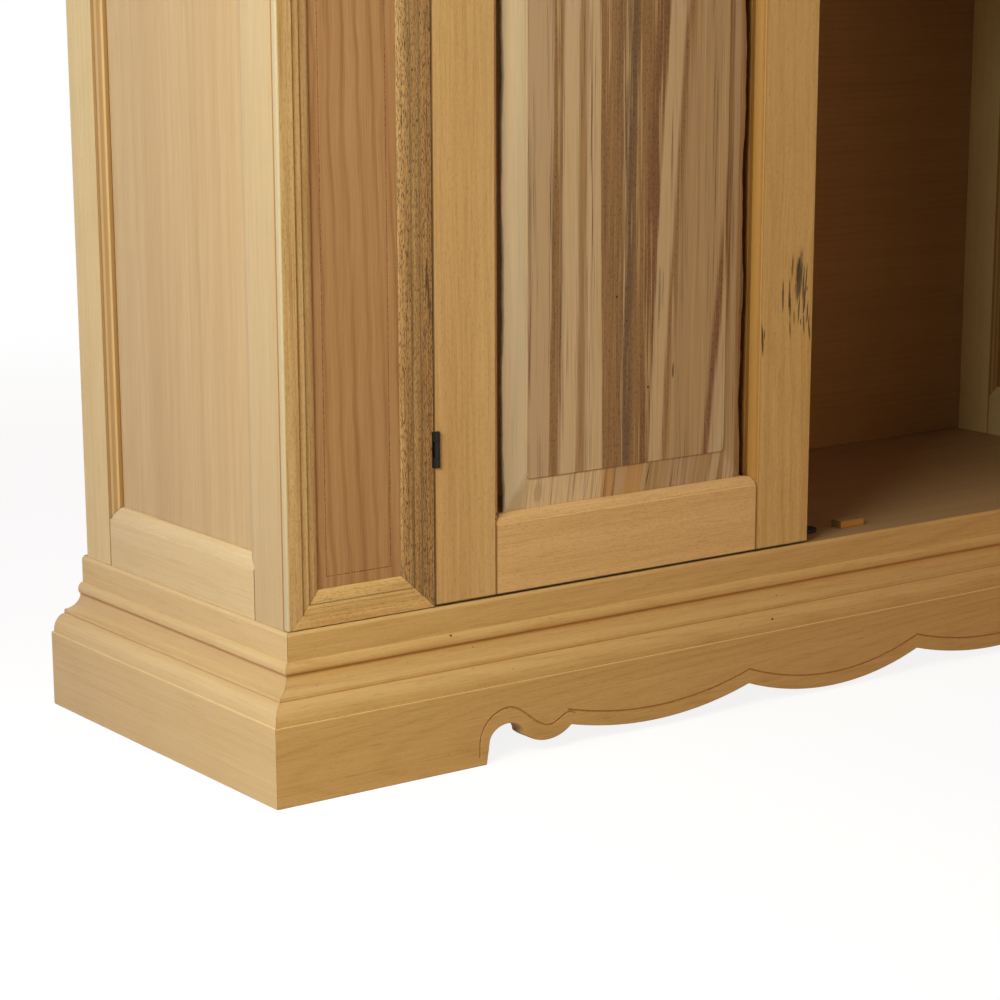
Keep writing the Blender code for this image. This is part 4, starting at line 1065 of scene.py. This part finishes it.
def dress_side(side):
    """The framed side."""
    stile, rail = f"{side}_side_front_stile", f"{side}_side_bottom_rail"
    dress_wood(stile, "zyx", FRONT_STILE, EASE_FRAME, marks=corner_joint_and_shade(side), seated=True)
    stile = f"{side}_side_rear_stile"
    dress_wood(stile, "zyx", REAR_STILE, EASE_FRAME, marks=hollow_painted_shade(side), seated=True)
    seams = side_rail_seams(rail)
    dress_wood(rail, "yzx", SIDE_RAIL, EASE_FRAME, marks=seams, seated=True, joint=SIDE_JOINT)
    dress_wood(f"{side}_side_top_rail", "yzx", SIDE_RAIL, EASE_FRAME, joint=SIDE_JOINT)
    dress_wood(f"{side}_side_panel", "zyx", PINK, EASE_FRAME)


def dress_pilaster(side):
    """The corner pilaster's frame and panel."""
    dress_wood(
        f"{side}_pilaster_bottom_rail", "xzy", PILASTER_RAIL, EASE_FRAME, marks=step_painted_shade(RAIL_STEP_SHADE))
    dress_wood(f"{side}_pilaster_top_rail", "xzy", PILASTER_RAIL, EASE_FRAME)
    outer = corner_marks(side, step_painted_shade(OUTER_STEP_SHADE) + OUTER_PAINTED_HIGHLIGHT)
    dress_wood(f"{side}_pilaster_outer_stile", "zxy", OLIVE, EASE_FRAME, marks=outer)
    inner = corner_marks(side, step_painted_shade(INNER_STEP_SHADE) + painted(INNER_SPALT, SPALT))
    dress_wood(f"{side}_pilaster_inner_stile", "zxy", SPALTED, EASE_FRAME, marks=inner)
    dress_pilaster_panel(side)


def dress_door(side):
    """The door's frame and panel."""
    rail_marks = door_seams(side) + foot_mark(along_seam)
    for place in ("bottom", "mid", "top"):
        dress_wood(
            f"{side}_door_{place}_rail", "xzy", DOOR_RAIL, EASE_FRAME, marks=rail_marks, joint=DOOR_JOINT)
    foot = foot_mark(cross_seam)
    gap = corner_marks(side, DOOR_GAP_PAINTED_SHADE + MITRE_DOTS)
    dress_wood(f"{side}_door_hinge_stile", "zxy", TAN, EASE_FRAME, marks=gap + foot)
    # Spalt streaks, then painted shade on the moulded edge
    spalt_and_shade = corner_marks(side, painted(MEETING_SPALT, SPALT) + MEETING_STICK)
    dress_wood(f"{side}_door_meeting_stile", "zxy", MEETING, EASE_FRAME, marks=spalt_and_shade + foot)
    dress_door_panel(side)


def dress_cabinet():
    """Give every node its finish."""
    dress_apron()
    for side in ("left", "right"):
        dress_wood(f"plinth_{side}", "yzx", SIDE, EASE_BOARD, marks=ledge_painted_highlight(f"plinth_{side}", SIDE_LEDGE))
        dress_wood(f"base_moulding_{side}", "yzx", SIDE, EASE_FRAME, marks=moulding_painted_shade(), seated=True)
        dress_wood(f"cornice_{side}", "yzx", SIDE, EASE_FRAME)
        dress_side(side)
        dress_pilaster(side)
        dress_door(side)
    dress_wood("plinth_back", "xzy", CREAM, EASE_BOARD)
    front_marks = moulding_painted_shade() + along_front(MOULDING_PINS)
    dress_wood("base_moulding_front", "xzy", CREAM, EASE_FRAME, marks=front_marks, seated=True)
    dress_wood("cornice_front", "xzy", CREAM, EASE_FRAME)
    dress_wood("top_board", "xyz", CREAM, EASE_BOARD)
    dress_wood("door_stop", "xzy", OCHRE, EASE_FRAME, marks=stop_painted_shade())
    for board in ("bottom_board", "lower_shelf", "upper_shelf"):
        dress_wood(board, "xyz", INSIDE, EASE_BOARD)
    dress_wood("back_panel", "xzy", INSIDE, EASE_BOARD)
    metal = black_metal()
    glass = clear_glass()
    for side in ("left", "right"):
        dress(f"{side}_door_glass", glass, EASE_GLASS, "pane")
        for place in ("lower", "upper"):
            for leaf in ("frame_leaf", "door_leaf"):
                dress(f"{side}_{place}_hinge_{leaf}", metal, EASE_METAL, "metal")
    dress("floor_catch", metal, EASE_METAL, "metal")
    dress("door_knob", metal, EASE_METAL, "metal")
    settle_normals()


# Stage

# Floor: what it gives back, what it shows, and where it fades into the white behind
FLOOR_SPAN = 30.0
FLOOR_SHADE = (0.50, 0.36, 0.20)
FLOOR_SHOWN = (0.20, 0.20, 0.20)
FLOOR_GLOW = 0.87
FLOOR_FADE = (1.3, 3.0)
AMBIENT = (0.125, 0.045, 0.008)

# Lamps: place, aim, width, height, watts and colour
LAMPS = {
    "key": ((-1.95, -1.2, 1.25), (-0.6, -0.47, 0.25), 0.9, 0.9, 35.5, (1.0, 1.06, 0.82)),
    "side": ((-3.8, -0.2, 1.9), (-0.75, -0.25, 0.3), 1.6, 1.6, 40.0, (0.05, 0.12, 0.90)),
    "fill": ((0.5, -2.6, 0.6), (-0.2, -0.47, 0.2), 1.4, 0.9, 5.0, (1.0, 0.52, 0.15)),
    "rear": ((3.2, 3.4, 2.6), (0.2, 0.0, 0.9), 2.2, 2.2, 80.0, (1.0, 0.95, 0.88)),
}


def seen_directly(shader):
    """One on rays that show the background: from the camera, off gloss and through glass."""
    path = shader.tree.nodes.new("ShaderNodeLightPath").outputs
    gloss = shader.math("MAXIMUM", path["Is Glossy Ray"], path["Is Transmission Ray"])
    return shader.math("MAXIMUM", path["Is Camera Ray"], gloss)


def add_floor():
    """A pale floor that shows white and keeps the shadow."""
    size = FLOOR_SPAN / 2
    corners = [(-size, -size, 0.0), (size, -size, 0.0), (size, size, 0.0), (-size, size, 0.0)]
    mesh = bpy.data.meshes.new("floor")
    mesh.from_pydata(corners, [], [(0, 1, 2, 3)])
    floor = linked("floor", mesh)
    shader = new_material("floor_paint")
    nodes = shader.tree.nodes
    nodes.remove(shader.surface)
    plain = shader.add("ShaderNodeBsdfDiffuse", {"Color": (*FLOOR_SHADE, 1.0)}).outputs[0]
    shown = shader.add("ShaderNodeBsdfDiffuse", {"Color": (*FLOOR_SHOWN, 1.0)}).outputs[0]
    glow = shader.add("ShaderNodeEmission", {"Strength": FLOOR_GLOW}).outputs[0]
    white = shader.add("ShaderNodeEmission", {"Strength": 1.0}).outputs[0]
    lit = shader.add("ShaderNodeAddShader", {0: shown, 1: glow}).outputs[0]
    place = shader.tree.nodes.new("ShaderNodeTexCoord").outputs["Object"]
    away = shader.add("ShaderNodeVectorMath", {0: place}, operation="LENGTH").outputs["Value"]
    far = shader.above(away, *FLOOR_FADE)
    faded = shader.add("ShaderNodeMixShader", {0: far, 1: lit, 2: white}).outputs[0]
    both = shader.add("ShaderNodeMixShader", {0: seen_directly(shader), 1: plain, 2: faded}).outputs[0]
    shader.put(nodes["Material Output"].inputs["Surface"], both)
    mesh.materials.append(shader.owner)


def add_world():
    """White behind the object, and a dim warm light all round."""
    shader = Shader(bpy.data.worlds.new("studio"))
    bpy.context.scene.world = shader.owner
    ambient = shader.tree.nodes["Background"]
    ambient.inputs["Color"].default_value = (*AMBIENT, 1.0)
    white = shader.add("ShaderNodeBackground", {"Color": (1.0, 1.0, 1.0, 1.0)}).outputs[0]
    inputs = {0: seen_directly(shader), 1: ambient.outputs[0], 2: white}
    both = shader.add("ShaderNodeMixShader", inputs).outputs[0]
    shader.put(shader.tree.nodes["World Output"].inputs["Surface"], both)


def add_lamps():
    """Soft lamps."""
    for name, (place, aim, width, height, watts, colour) in LAMPS.items():
        light = bpy.data.lights.new(name, "AREA")
        light.shape = "RECTANGLE"
        light.size = width
        light.size_y = height
        light.energy = watts
        light.color = colour
        lamp = linked(name, light)
        lamp.location = place
        lamp.rotation_euler = (Vector(aim) - Vector(place)).to_track_quat("-Z", "Y").to_euler()
        lamp.visible_camera = False


def add_camera():
    """The camera at the photo's place."""
    data = bpy.data.cameras.new("camera")
    data.sensor_width = SENSOR
    data.lens = FOCAL * SENSOR
    data.shift_x = 0.5 - PICTURE_MIDDLE[0] / PICTURE
    data.shift_y = PICTURE_MIDDLE[1] / PICTURE - 0.5
    data.clip_end = 100.0
    camera = linked("camera", data)
    camera.location = CAMERA_PLACE
    camera.rotation_euler = (math.pi / 2 - CAMERA_PITCH, 0.0, -CAMERA_YAW)
    bpy.context.scene.camera = camera


dress_cabinet()
add_floor()
add_world()
add_lamps()
add_camera()
bpy.context.scene.view_settings.view_transform = "Standard"
bpy.context.view_layer.update()
